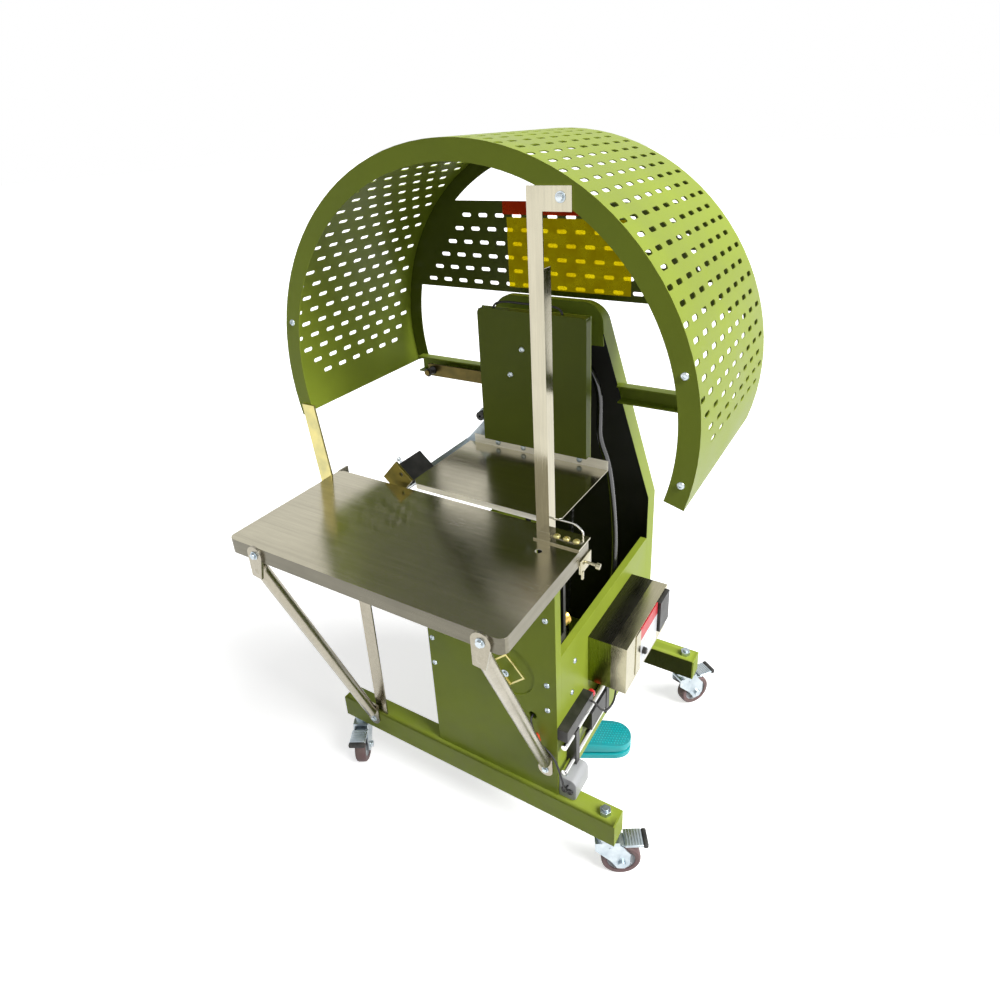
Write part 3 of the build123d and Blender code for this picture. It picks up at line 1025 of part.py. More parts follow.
def make_rods():
    end = ROD_LENGTH
    rods = [along_y(ROD_X, z, 0, end, ROD_R) for z in (UPPER_ROD_Z, LOWER_ROD_Z)]
    nodes["guide_rods"] = rods
    x0, x1 = HALF_WIDTH, HALF_WIDTH + MOUNT_WIDTH
    low, high = LOWER_ROD_Z - ROD_R - MOUNT_EDGE[0], UPPER_ROD_Z + ROD_R + MOUNT_EDGE[1]
    solids = []
    for y in (FRONT_MOUNT_Y, end - MOUNT_THICK):
        mount = block(x0, x1, y, y + MOUNT_THICK, low, high)
        for z in (UPPER_ROD_Z, LOWER_ROD_Z):
            mount -= along_y(ROD_X, z, y - 1, y + MOUNT_THICK + 1, ROD_R)
        solids.append(mount)
    bar_low, bar_high = BAR_Z - BAR_HEIGHT / 2, BAR_Z + BAR_HEIGHT / 2
    bar = block(x0, x1, 0, BAR_LENGTH, bar_low, bar_high)
    bar -= along_y(ROD_X, BAR_Z, BAR_LENGTH - BUTTON_BORE, BAR_LENGTH + 1, BUTTON_STEM_R + RUNNING)
    solids.append(bar)
    edge = ROD_R + SLIDE_EDGE
    solids.append(block(x0, x1, *SLIDE_ALONG, LOWER_ROD_Z + edge, UPPER_ROD_Z - edge))
    nodes["rod_mounts"] = solids
    start = BAR_LENGTH + BUTTON_TRAVEL + LOOSE
    button = along_y(ROD_X, BAR_Z, start, start + BUTTON_LENGTH, BUTTON_R)
    button += along_y(ROD_X, BAR_Z, BAR_LENGTH - STEM_DEPTH, start, BUTTON_STEM_R)
    nodes["push_button"] = [button]


# ---------------------------------------------------------------- wires and foot switch
def make_wiring():
    x0 = HALF_WIDTH
    y0, y1 = JUNCTION_FRONT_Y, JUNCTION_FRONT_Y + JUNCTION_LENGTH
    z0, z1 = FOOT_TOP_Z, FOOT_TOP_Z + JUNCTION_HEIGHT
    housing = block(x0, x0 + JUNCTION_WIDTH, y0, y1, z0, z1)
    housing = fillet(housing.edges().filter_by(Axis.Y).group_by(Axis.X)[-1], JUNCTION_CORNER_R)
    nodes["cable_junction"] = [housing]
    hole_x, hole_z = WIRE_HOLE
    first = tube_path([(hole_x, SHEET, hole_z), (hole_x, -9, hole_z), (hole_x + 5, -12, hole_z - 16),
                       (98, -12, 304)], WIRE_R)
    plug = rod((98, -12, 304), (104, -12, 287), PLUG_R)
    second = tube_path([(104, -12, 287), (115, -7, 273), (132, -6, 258), (142, -7, 236), (150, -9, 212),
                        (156, -10, 190), (156, y0, 190)], WIRE_R)
    x1 = HALF_WIDTH + MOUNT_WIDTH
    lead_y = BAR_LENGTH - 10
    lead = tube_path([(x1, lead_y, BAR_Z), (x1 + 9, lead_y, BAR_Z), (x1 + 17, lead_y + 6, BAR_Z - 20),
                      (x1 + 24, lead_y + 20, BAR_Z - 32), (x1 + 29, lead_y + 38, BAR_Z - 27),
                      (x1 + 31, lead_y + 46, BAR_Z - 8), (x1 + 31, lead_y + 46, BOX_LOW_Z)], WIRE_R)
    over = tube_path([(-75, 198, HEAD_TOP_Z), (-75, 198, HEAD_TOP_Z + 8), (-52, 198, HEAD_TOP_Z + 14),
                      (-10, 199, HEAD_TOP_Z + 12), (36, 198, HEAD_TOP_Z + 14), (58, 198, HEAD_TOP_Z + 8),
                      (58, 198, HEAD_TOP_Z)], WIRE_R)
    nodes["panel_wires"] = [first, plug, second, lead, over]
    start_y, out_y = COLUMN_FRONT_Y + COLUMN_PLATE, COLUMN_FRONT_Y + 24
    top = AXIS_Z - SHAFT_R + 1
    nodes["conduit"] = [tube_path([
        (44, start_y, top), (44, out_y, top), (62, out_y + 8, top - 14), (86, out_y + 14, top - 62),
        (84, out_y + 20, top - 124), (80, out_y + 26, top - 170), (98, out_y + 34, top - 225),
        (102, out_y + 50, top - 320), (104, out_y + 60, top - 410), (110, out_y + 44, top - 484),
        (112, out_y + 16, top - 530), (114, out_y, top - 538), (HALF_WIDTH - SHEET, out_y, top - 538)],
        CONDUIT_R)]


def make_foot_switch():
    at = Pos(SWITCH_X, SWITCH_Y, 0) * Rot(0, 0, SWITCH_YAW)
    length, width = SWITCH_LENGTH, SWITCH_WIDTH
    toe = width / 2 - 1
    shape = Pos(-toe / 2, 0) * Rectangle(length - toe, width) + Pos(length / 2 - toe, 0) * Circle(toe)
    base = extrude(shape, SWITCH_BASE)
    pin_x = -length / 2 + TREAD_PIN_INSET
    pin_z = SWITCH_BASE + TREAD_GAP + 2
    inner = width / 2 - TREAD_WALL - LOOSE
    for side in (-1, 1):
        ear = block(pin_x - 8, pin_x + 8, *sorted((side * inner, side * (inner - 5))), 0, pin_z + 6)
        base += ear
    base -= along_y(pin_x, pin_z, -width, width, TREAD_PIN_R + RUNNING)
    nodes["foot_switch_base"] = [at * base]
    low = SWITCH_BASE + TREAD_GAP - 1
    tread = extrude(shape, TREAD_HEIGHT) - Pos(0, 0, -1) * extrude(shape, low + 1)
    bend_x, past_x = TREAD_BEND - length / 2, length / 2 + 1
    slope = plate_xz([(bend_x, TREAD_HEIGHT), (past_x, TREAD_TOE_HEIGHT), (past_x, TREAD_HEIGHT + 1),
                      (bend_x, TREAD_HEIGHT + 1)], -width, width)
    hollow_toe = toe - TREAD_WALL
    hollow = Pos(-toe / 2, 0) * Rectangle(length - toe - 2 * TREAD_WALL, width - 2 * TREAD_WALL)
    hollow += Pos(length / 2 - toe, 0) * Circle(hollow_toe)
    tread -= slope
    tread -= extrude(hollow, TREAD_TOE_HEIGHT - TREAD_WALL)
    pin = along_y(pin_x, pin_z, -width / 2 + 1, width / 2 - 1, TREAD_PIN_R)
    nodes["foot_tread"] = [at * (tread + pin)]
    yaw = math.radians(SWITCH_YAW)
    ux, uy = math.cos(yaw), math.sin(yaw)
    gx, gy = SWITCH_X - ux * length / 2, SWITCH_Y - uy * length / 2
    leave = (gx - ux * 40, gy - uy * 40)
    cord = tube_path([(gx, gy, 6), (*leave, 6), (-52, 168, 4), (-46, 124, 4), (-8, 96, 6), (40, 84, 18),
                      (88, 74, 40), (130, 60, 72), (156, 44, 110), (156, 44, FOOT_TOP_Z)], SWITCH_CORD_R)
    nodes["foot_switch_cord"] = [cord]


# ---------------------------------------------------------------- fasteners
def make_fasteners():
    small = (SCREW_R, SCREW_HEAD_R, SCREW_HEAD)
    big = (BOLT_R, BOLT_HEAD_R, BOLT_HEAD)
    solids = screws(PANEL_SCREWS, OUT_FRONT, *small, 6)
    solids += screws(BRACKET_SCREWS, OUT_FRONT, *small, 8)
    solids += screws(HEAD_SCREWS, OUT_FRONT, *small, HEAD_DEPTH + HEAD_PLATE)
    solids += screws(UPSTAND_SCREWS, OUT_FRONT, *small, TABLE_SHEET + HEAD_PLATE)
    solids += screws(STRUT_TOP, OUT_FRONT, *big, STRUT_PLATE + TABLE_SHEET + 2)
    lower, upper = [(x, y - STRUT_PLATE, z) for x, y, z in STRUT_LOW]
    solids += screws([lower], OUT_FRONT, *big, STRUT_PLATE + FOOT_WALL + 2)
    solids += screws([upper], OUT_FRONT, SCREW_R, BOLT_HEAD_R, BOLT_HEAD, STRUT_PLATE + SHEET + 2)
    x, y, z = LEG_BOLT
    solids += screws([(x, y + LEG_SHEET, z)], OUT_BACK, *big, LEG_SHEET + TABLE_SHEET + 2)
    solids += screws(SIDE_SCREWS, OUT_RIGHT, *small, 4)
    solids += screws(RIM_SCREWS, OUT_FRONT, *small, RIM_THICK + 2)
    solids += screws([TAB_BOLT], OUT_FRONT, *big, POST_SHEET + RIM_THICK + 2)
    solids += screws(FOOT_PLATE_SCREWS, OUT_UP, *small, POST_FOOT_THICK)
    nodes["fasteners"] = solids


# ---------------------------------------------------------------- build and write
def place_at_origin():
    everything = Compound([s for solids in nodes.values() for s in solids])
    box = everything.bounding_box()
    return Vector(-(box.min.X + box.max.X) / 2, -(box.min.Y + box.max.Y) / 2, -box.min.Z), box


def write(name, solids, shift):
    moved = [Pos(*shift) * solid for solid in solids]
    shape = moved[0] if len(moved) == 1 else Compound(moved)
    shape.label = name
    export_step(shape, f"parts/{name}.step")


for make in (make_feet, make_stems, make_casters, make_front_panel, make_side_panels, make_column, make_head,
             make_arm, make_drive, make_front_table, make_rear_table, make_supports, make_guard, make_post,
             make_guide_bar, make_knotter, make_control_box, make_rods, make_wiring, make_foot_switch,
             make_fasteners):
    make()

os.makedirs("parts", exist_ok=True)
shift, box = place_at_origin()
for name, solids in nodes.items():
    write(name, solids, shift)
print("nodes", len(nodes), "shift", [round(v, 3) for v in shift], "size", [round(v, 1) for v in box.size])
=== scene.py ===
# %% [markdown]
# # A rope tying machine, dressed
#
# The machine ties packages with rope. A bent arm carries the rope once round the package, through the
# gap between two small steel tables, and a knotter under the right end of the gap ties it. The packed
# CAD model fixes every size, place and joint. This notebook gives each piece its finish, and models
# again the pieces whose detail a plain solid can't hold: the slotted guard, the chain, the screws.

import json
import math

import bmesh
import bpy
from mathutils import Matrix, Vector

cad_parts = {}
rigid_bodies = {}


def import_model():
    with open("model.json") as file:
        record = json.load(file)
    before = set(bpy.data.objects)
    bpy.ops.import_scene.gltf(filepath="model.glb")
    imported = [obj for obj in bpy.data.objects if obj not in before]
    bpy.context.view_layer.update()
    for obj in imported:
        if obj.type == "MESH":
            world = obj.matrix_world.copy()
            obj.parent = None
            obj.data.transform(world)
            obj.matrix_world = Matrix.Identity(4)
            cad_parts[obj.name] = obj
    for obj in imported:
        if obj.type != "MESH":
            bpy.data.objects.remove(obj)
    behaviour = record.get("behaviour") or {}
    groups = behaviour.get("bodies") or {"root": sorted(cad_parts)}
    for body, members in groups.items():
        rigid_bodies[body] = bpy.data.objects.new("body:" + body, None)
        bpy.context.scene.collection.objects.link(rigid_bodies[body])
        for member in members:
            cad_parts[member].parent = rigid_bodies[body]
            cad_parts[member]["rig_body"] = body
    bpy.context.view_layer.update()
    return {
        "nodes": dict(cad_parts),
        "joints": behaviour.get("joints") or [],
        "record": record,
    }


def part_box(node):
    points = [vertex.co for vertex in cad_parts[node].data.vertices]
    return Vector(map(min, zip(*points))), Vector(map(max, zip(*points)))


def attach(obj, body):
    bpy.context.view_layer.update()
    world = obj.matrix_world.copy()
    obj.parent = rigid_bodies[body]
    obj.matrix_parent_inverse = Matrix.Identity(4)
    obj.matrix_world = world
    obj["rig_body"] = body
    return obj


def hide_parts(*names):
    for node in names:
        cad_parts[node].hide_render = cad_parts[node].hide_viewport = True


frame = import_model()
NODES = frame["nodes"]
JOINTS = {joint["name"]: joint for joint in frame["joints"]}
MM = 0.001


# %% [markdown]
# ## Places come from the frame
#
# A number typed twice goes wrong once. So the arm's axis, the casters and the middles of pieces are
# read from the frame's joints and boxes, and a size typed here belongs to a detail that only this
# notebook knows. Wires and the foot switch are the exceptions: their points are typed, in millimetres
# from the arm's axis, the pedestal's front face and the floor.

# %% Measuring helpers
def middle(node):
    """The middle of a node's box."""
    low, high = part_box(node)
    return (low + high) / 2


def joint_place(name):
    return Vector(JOINTS[name]["pos_m"])


def mm(x, y, z):
    """A vector in metres from millimetres."""
    return Vector((x, y, z)) * MM


AXIS = joint_place("arm_spin")
FOOT_STEP = 11 * MM     # the pedestal's front face stands this far behind the front foot's
FRONT_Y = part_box("feet")[0].y + FOOT_STEP


def layout(x, y, z):
    """A point in metres from millimetres off the arm's axis, the pedestal's front face and the floor."""
    return Vector((AXIS.x + x * MM, FRONT_Y + y * MM, z * MM))


print("arm axis at", [round(v, 4) for v in AXIS], "pedestal front at y =", round(FRONT_Y, 4))


# %% [markdown]
# ## Shader maths as Python
#
# A procedural finish is arithmetic on noise. Node by node that is hard to read, so one small class
# wraps an output socket, and `+` and `*` on it add the Math nodes. The Finish class holds one
# material while it is built. Its `node` method makes every other node: settings first, then sockets.

# %% Arithmetic on sockets
class Value:
    """One output socket of a finish. Arithmetic on it adds Math nodes."""

    def __init__(self, finish, socket):
        self.finish, self.socket = finish, socket

    def maths(self, operation, other):
        return self.finish.node("ShaderNodeMath", {0: self, 1: other}, operation=operation)

    def __add__(self, other):
        return self.maths("ADD", other)

    def __mul__(self, other):
        return self.maths("MULTIPLY", other)

    __radd__, __rmul__ = __add__, __mul__

    def or_higher(self, other):
        return self.maths("MAXIMUM", other)


print("arithmetic ready")


# %% Finish
class Finish:
    """A material under construction, with the nodes that most finishes need."""

    def __init__(self, name):
        self.material = bpy.data.materials.new(name)
        self.material.use_nodes = True
        self.tree = self.material.node_tree
        self.shader = self.tree.nodes["Principled BSDF"]
        self.place = self.node("ShaderNodeTexCoord", {}, output="Object")

    def join(self, socket, value):
        if isinstance(value, Value):
            self.tree.links.new(value.socket, socket)
        else:
            socket.default_value = value

    def node(self, kind, sockets, output=0, **settings):
        made = self.tree.nodes.new(kind)
        for name, value in settings.items():
            setattr(made, name, value)
        for name, value in sockets.items():
            self.join(made.inputs[name], value)
        return Value(self, made.outputs[output])

    def noise(self, scale, detail, stretch=(1, 1, 1)):
        """Noise from 0 to 1. scale is in lumps per metre; stretch multiplies it along X, Y and Z."""
        place = self.node("ShaderNodeMapping", {"Vector": self.place, "Scale": stretch})
        sockets = {"Vector": place, "Scale": scale, "Detail": detail, "Roughness": 0.55}
        return self.node("ShaderNodeTexNoise", sockets)

    def range(self, value, low, high, to_low, to_high):
        """Maps a value from one range to another and holds it there."""
        sockets = {0: value, 1: low, 2: high, 3: to_low, 4: to_high}
        return self.node("ShaderNodeMapRange", sockets, clamp=True)

    def mix(self, factor, first, second):
        """Blends two colours, each a plain (r, g, b) or a link."""
        first, second = [c if isinstance(c, Value) else (*c, 1) for c in (first, second)]
        return self.node("ShaderNodeMix", {0: factor, 6: first, 7: second}, output=2, data_type="RGBA")

    def bump(self, height, depth):
        """A bump of that depth in metres."""
        return self.node("ShaderNodeBump", {"Height": height, "Distance": depth, "Strength": 1.0})

    def height_up(self):
        """The height above the floor in metres."""
        return self.node("ShaderNodeSeparateXYZ", {"Vector": self.place}, output="Z")

    def done(self, **sockets):
        names = {"base": "Base Color", "rough": "Roughness", "metal": "Metallic", "normal": "Normal",
                 "coat": "Coat Weight", "coat_rough": "Coat Roughness", "specular": "Specular IOR Level",
                 "ior": "IOR", "through": "Transmission Weight", "glow": "Emission Strength",
                 "glow_colour": "Emission Color"}
        for name, value in sockets.items():
            if name == "base" and not isinstance(value, Value):
                value = (*value, 1)
            self.join(self.shader.inputs[names[name]], value)
        return self.material


print("node makers ready")


# %% Colours
def srgb(red, green, blue):
    """A colour given as on a screen, from 0 to 255, as the linear colour that a shader takes."""
    return tuple(((c / 255 + 0.055) / 1.055) ** 2.4 if c > 10 else c / 3294 for c in (red, green, blue))


def scaled(colour, factor):
    return tuple(min(1.0, c * factor) for c in colour)


print("mid grey is", round(srgb(128, 128, 128)[0], 3), "as a linear colour")


# %% [markdown]
# ## Green powder coat
#
# Powder paint melts on the part in an oven, so it shows a fine skin of ripples called orange peel.
# The colour is even, and handling leaves it slightly duller in patches. Dust settles low on a
# machine that stands on a workshop floor. Four noises give these: one for the ripples, which is only
# a bump, one for fine pale specks, one for the patches, which moves colour and gloss a little, and
# one for the dust.

# %% Powder coat finish
def powder_coat(name, colour, gloss=0.42):
    coat = Finish(name)
    patches = coat.noise(7.0, detail=5)
    ripples = coat.noise(420.0, detail=1)
    specks = coat.noise(1500.0, detail=2)
    low_down = coat.range(coat.height_up(), 0.10, 0.34, 0.55, 0.0)
    dust = low_down * coat.range(coat.noise(26.0, detail=4), 0.42, 0.72, 0.0, 1.0)
    shade = coat.mix(coat.range(patches, 0.3, 0.7, 0, 1), scaled(colour, 0.90), scaled(colour, 1.09))
    shade = coat.mix(coat.range(specks, 0.62, 0.74, 0, 0.16), shade, scaled(colour, 1.5))
    shade = coat.mix(dust * 0.35, shade, srgb(168, 160, 130))
    rough = coat.range(patches, 0.3, 0.7, gloss - 0.05, gloss + 0.09) + dust * 0.2
    peel = coat.bump(ripples + specks * 0.25, 0.00010)
    return coat.done(base=shade, rough=rough, normal=peel, specular=0.2)


PAINT = srgb(148, 165, 54)
green = powder_coat("green_powder_coat", PAINT)
# A darker copy of the same green is painted shade: the guard shades the head cover.
shaded_green = powder_coat("green_powder_coat_painted_shade", scaled(PAINT, 0.5))
# A darker copy still is painted deep shade, for the guard's rear panel.
deep_shaded_green = powder_coat("green_powder_coat_painted_deep_shade", scaled(PAINT, 0.36))
print("green paint", [round(c, 3) for c in PAINT])


# %% [markdown]
# ## Stainless, zinc and steel
#
# Sheet steel is polished along one direction, so its scratches are noise stretched some forty times
# that way. Zinc plate has no scratches but a faint bluish cloud, or a yellow, olive or brown one where
# it was passivated with chromate. A machined shaft shows fine rings. All are fully metallic, so most of
# their look is roughness: the same noise moves the roughness, and a shallow bump bends the highlight.

# %% Metal finishes
def brushed(name, colour, grain, rough, smear):
    """Sheet with fine scratches. grain stretches the scratch noise: a small number is along them."""
    sheet = Finish(name)
    scratches = sheet.noise(900.0, detail=3, stretch=grain)
    broad = sheet.noise(170.0, detail=2, stretch=grain)
    cloud = sheet.noise(9.0, detail=4)
    both = sheet.range(scratches * 0.5 + broad * 0.5, 0.35, 0.65, 0, 1)
    tone = sheet.mix(both, scaled(colour, 0.82), colour)
    tone = sheet.mix(sheet.range(cloud, 0.45, 0.75, 0, 0.5), tone, scaled(colour, 0.74))
    level = rough + sheet.range(cloud, 0.3, 0.7, -smear, smear)
    level = level + sheet.range(scratches, 0.3, 0.7, -0.05, 0.05)
    return sheet.done(base=tone, rough=level, metal=1.0, normal=sheet.bump(scratches, 0.000012))


def plated(name, colour, tint, rough=0.32):
    """Zinc plate: a cloudy colour that drifts towards a tint, with tiny pits."""
    plate = Finish(name)
    cloud = plate.noise(38.0, detail=4)
    pits = plate.noise(1200.0, detail=2)
    tone = plate.mix(plate.range(cloud, 0.35, 0.68, 0, 1), colour, tint)
    level = plate.range(cloud, 0.3, 0.7, rough - 0.07, rough + 0.10)
    return plate.done(base=tone, rough=level, metal=1.0, normal=plate.bump(pits, 0.00003))


def machined(name, colour, rough=0.14):
    """A ground or turned surface: faint rings and a soft smear of oil."""
    part = Finish(name)
    rings = part.noise(700.0, detail=2, stretch=(0.15, 1, 0.15))
    oil = part.noise(30.0, detail=3)
    tone = part.mix(part.range(oil, 0.4, 0.7, 0, 0.45), colour, scaled(colour, 0.75))
    level = part.range(oil, 0.3, 0.7, rough - 0.04, rough + 0.12)
    return part.done(base=tone, rough=level, metal=1.0, normal=part.bump(rings, 0.00001))


print("metal makers ready")


# %% Metals of this machine
STAINLESS = srgb(200, 194, 172)
table_steel = brushed("stainless_table_sheet", STAINLESS, (0.02, 1, 1), rough=0.17, smear=0.07)
# Darker copies of the steel for the front table's front and right faces are painted shade.
front_shade_steel = brushed("stainless_table_front_painted_shade", scaled(STAINLESS, 0.3), (0.02, 1, 1), rough=0.3, smear=0.1)
side_shade_steel = brushed("stainless_table_side_painted_shade", scaled(STAINLESS, 0.45), (1, 0.02, 1), rough=0.3, smear=0.1)
# The upstand's paler copy of the steel is a painted reflection of the white surround.
upstand_reflection_steel = brushed("stainless_upstand_painted_reflection", srgb(246, 243, 232), (0.03, 1, 1), rough=0.5, smear=0.05)
post_steel = brushed("stainless_upright", scaled(STAINLESS, 0.86), (1, 1, 0.03), rough=0.14, smear=0.05)
tube_steel = brushed("stainless_tube", srgb(166, 160, 144), (1, 1, 1), rough=0.26, smear=0.06)
box_steel = brushed("stainless_box_sheet", srgb(184, 178, 150), (1, 0.03, 1), rough=0.2, smear=0.06)
slate_steel = brushed("dark_box_sheet", srgb(78, 76, 68), (1, 0.03, 1), rough=0.3, smear=0.06)
# A green-tinted copy for part of the control box's front is a painted reflection of the green paint near it.
green_reflection_steel = brushed("box_sheet_painted_green_reflection", srgb(134, 142, 62), (1, 1, 0.03), rough=0.26, smear=0.06)
zinc = plated("zinc_plate", srgb(198, 206, 210), srgb(168, 180, 188))
yellow_zinc = plated("yellow_zinc_plate", srgb(206, 194, 128), srgb(186, 180, 128), rough=0.36)
olive_zinc = plated("olive_zinc_plate", srgb(142, 130, 66), srgb(118, 110, 58), rough=0.34)
brown_zinc = plated("brown_zinc_plate", srgb(92, 80, 44), srgb(76, 70, 40), rough=0.34)
ground_steel = machined("ground_rod", srgb(222, 222, 220))
dark_steel = machined("oiled_steel", srgb(74, 74, 72), rough=0.34)
brass = machined("turned_brass", srgb(214, 178, 96), rough=0.24)
print("metals:", table_steel.name, zinc.name, yellow_zinc.name, ground_steel.name, brass.name)


# %% [markdown]
# ## Plastics and rubber
#
# Moulded plastic is almost even in colour. What makes it real is the surface: a spark-eroded mould
# leaves a fine grain, and use wears it in patches. Rubber is rougher, and paler where it is dusty.
# One function covers them, with the grain's size and depth as arguments.

# %% Plastic and rubber finishes
def moulded(name, colour, rough, grain=900.0, depth=0.00006, dust=0.12, coat=0.0):
    part = Finish(name)
    texture = part.noise(grain, detail=2)
    wear = part.noise(35.0, detail=4)
    tone = part.mix(part.range(wear, 0.4, 0.75, 0, dust), colour, srgb(150, 145, 135))
    tone = part.mix(part.range(texture, 0.35, 0.65, 0, 0.25), tone, scaled(colour, 0.8))
    level = part.range(wear, 0.3, 0.7, rough - 0.06, rough + 0.1)
    return part.done(base=tone, rough=level, normal=part.bump(texture, depth), coat=coat, coat_rough=0.1)


print("mouldings ready")


# %% Mouldings of this machine
black_plastic = moulded("black_moulding", srgb(30, 30, 31), 0.42)
hose_plastic = moulded("black_hose", srgb(34, 34, 35), 0.16, depth=0.00001, dust=0.04, coat=1.0)
# Near black for the pedestal's inner walls: painted shade of the dark cavity.
inside_shade_black = moulded("black_painted_inside_shade", srgb(16, 16, 15), 0.6, depth=0.00001, dust=0.04)
black_cord = moulded("black_cord_jacket", srgb(26, 26, 28), 0.5, grain=2000.0, depth=0.00002)
red_plastic = moulded("red_push_cap", srgb(214, 26, 44), 0.22, depth=0.00001, dust=0.02, coat=0.6)
orange_plastic = moulded("orange_connector", srgb(214, 66, 30), 0.35, depth=0.00001, dust=0.05)
grey_plastic = moulded("grey_housing", srgb(176, 178, 180), 0.40)
white_plate = moulded("white_face_plate", srgb(232, 234, 238), 0.30, depth=0.00001, dust=0.06)
red_band = moulded("red_band", srgb(206, 30, 44), 0.34, depth=0.00001, dust=0.05)
deep_turquoise = moulded("turquoise_tread_ground", srgb(14, 152, 158), 0.4, grain=700.0, depth=0.00008)
turquoise = moulded("turquoise_tread", srgb(30, 190, 194), 0.38, grain=700.0, depth=0.00008, dust=0.10)
rubber = moulded("black_rubber", srgb(36, 36, 37), 0.62, grain=500.0, depth=0.0001, dust=0.25)
tyre = moulded("grey_red_tyre", srgb(112, 84, 84), 0.55, grain=500.0, depth=0.0001, dust=0.35)
hub_plastic = moulded("pale_wheel_hub", srgb(176, 182, 186), 0.4)
casting = moulded("grey_enamel", srgb(104, 108, 110), 0.45, grain=300.0, depth=0.0002, dust=0.3)
print(len(bpy.data.materials), "finishes so far")


# %% [markdown]
# ## From a bmesh to a piece
#
# Every modelled piece ends the same way: the bmesh becomes a mesh, gets its finishes, its smooth
# shading with crisp edges past an angle, the body it rides on and the CAD node it stands for. CAD
# pieces that are right in shape but sharp as glass on every edge get a second helper: it copies the
# node, merges its loose triangles and rounds the edges by about the half millimetre that a press
# brake or a grinder leaves. That small bevel catches the light, which tells the eye that metal is thick.

# %% From mesh to piece
def body_of(node):
    return NODES[node]["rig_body"]


def slot_of(node):
    rows = frame["record"]["subparts"]
    return next(row["material_slot"] for row in rows if row["node"] == node)


def mesh_of(name, bm):
    """Makes a mesh from a bmesh and frees the bmesh."""
    mesh = bpy.data.meshes.new(name)
    bm.to_mesh(mesh)
    bm.free()
    return mesh


def placed(name, data):
    """An object in the scene, at the origin."""
    made = bpy.data.objects.new(name, data)
    bpy.context.scene.collection.objects.link(made)
    return made


def piece(name, bm, finishes, node=None, body="machine", slot=None, closed=True, crisp=35):
    """A finished piece, which stands for a CAD node on that node's body unless none is named."""
    if closed:
        bmesh.ops.recalc_face_normals(bm, faces=bm.faces)
    mesh = mesh_of(name, bm)
    for finish in finishes:
        mesh.materials.append(finish)
    mesh.shade_smooth()
    mesh.set_sharp_from_angle(angle=math.radians(crisp))
    made = placed(name, mesh)
    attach(made, body_of(node) if node else body)
    if node:
        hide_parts(node)
    slot or slot_of(node)
    return made


print("finished pieces ride on bodies such as", body_of("feet"), "and", body_of("rope_arm"))


# %% Copies of CAD nodes
def give_finish(faces, index):
    for face in faces:
        face.material_index = index


def merged(node):
    """A bmesh copy of a CAD node, its triangles merged into real faces."""
    bm = bmesh.new()
    bm.from_mesh(NODES[node].data)
    bmesh.ops.remove_doubles(bm, verts=bm.verts, dist=0.000004)
    bmesh.ops.dissolve_limit(bm, angle_limit=math.radians(0.6), verts=bm.verts, edges=bm.edges)
    give_finish(bm.faces, 0)
    return bm


def each_once(items):
    """The items without repeats, in the order they come, which a set wouldn't keep."""
    return list(dict.fromkeys(items))


def shells(bm):
    """The separate solids of a bmesh, largest box first. Where two touch, an edge has four faces."""
    left, found = set(bm.faces), []
    for first in bm.faces:
        if first not in left:
            continue
        left.discard(first)
        stack, shell = [first], []
        while stack:
            face = stack.pop()
            shell.append(face)
            for edge in (edge for edge in face.edges if len(edge.link_faces) == 2):
                for near in edge.link_faces:
                    if near in left:
                        left.discard(near)
                        stack.append(near)
        found.append(shell)
    return sorted(found, key=lambda shell: -box_volume(shell))


def face_box(faces):
    points = [vert.co for face in faces for vert in face.verts]
    low = Vector([min(p[i] for p in points) for i in range(3)])
    high = Vector([max(p[i] for p in points) for i in range(3)])
    return low, high


def box_volume(faces):
    low, high = face_box(faces)
    size = high - low
    return size.x * size.y * size.z


print("the feet are", len(shells(merged("feet"))), "solids")


# %% Bevels and softened copies
def bevel(bm, edges, width, segments=2):
    """Rounds edges by a width in millimetres."""
    bmesh.ops.bevel(bm, geom=edges, offset=width * MM, offset_type="OFFSET", affect="EDGES",
                    segments=segments, profile=0.5, material=-1, clamp_overlap=True)


def round_edges(bm, width, segments=2, angle=32):
    """Rounds the edges where a bmesh bends by more than an angle."""
    sharp = [edge for edge in bm.edges if edge.is_manifold and edge.calc_face_angle() > math.radians(angle)]
    bevel(bm, sharp, width, segments)


def paint_inside_shade(bm, index):
    """Gives the walls that face the middle of a folded sheet another finish: near black, as painted shade of
    the cavity.
    """
    low, high = face_box(bm.faces)
    heart = (low + high) / 2
    give_finish([face for face in bm.faces if face.normal.dot(heart - face.calc_center_median()) > 0], index)


def copied(name, bm, finishes, node, slot=None, crisp=35):
    """A piece made from a CAD copy. Its large faces shade flat up to their rounded edges."""
    made = piece(name, bm, finishes, node, slot=slot, closed=False, crisp=crisp)
    weighted = made.modifiers.new("flat faces", "WEIGHTED_NORMAL")
    weighted.keep_sharp = True
    seen = made.evaluated_get(bpy.context.evaluated_depsgraph_get())
    old, made.data = made.data, bpy.data.meshes.new_from_object(seen)
    made.modifiers.clear()
    made.data.name = old.name


def softened(node, width, *finishes, order=(), segments=2, inside=None):
    """Stands for a CAD node with its edges rounded. order gives each solid's finish, largest first."""
    bm = merged(node)
    for shell, index in zip(shells(bm), order):
        give_finish(shell, index)
    if inside is not None:
        paint_inside_shade(bm, inside)
    round_edges(bm, width, segments)
    copied("soft_" + node, bm, finishes, node, crisp=40)


print("piece helpers ready")


# %% [markdown]
# ## Bars, discs and turned parts
#
# Most small hardware is turned or drawn, so a few makers cover it. Each one works in a bmesh of its
# own, where every face is its own and nothing else can be touched, and `join_in` then lays the part in
# place inside the piece. `aim` gives the matrix that lays a part's own Z axis along any direction.

# %% Placing and joining
def turn_to(x_way, y_way):
    """The turn that lays X and Y along two unit vectors at right angles to each other."""
    return Matrix((x_way, y_way, x_way.cross(y_way))).transposed().to_4x4()


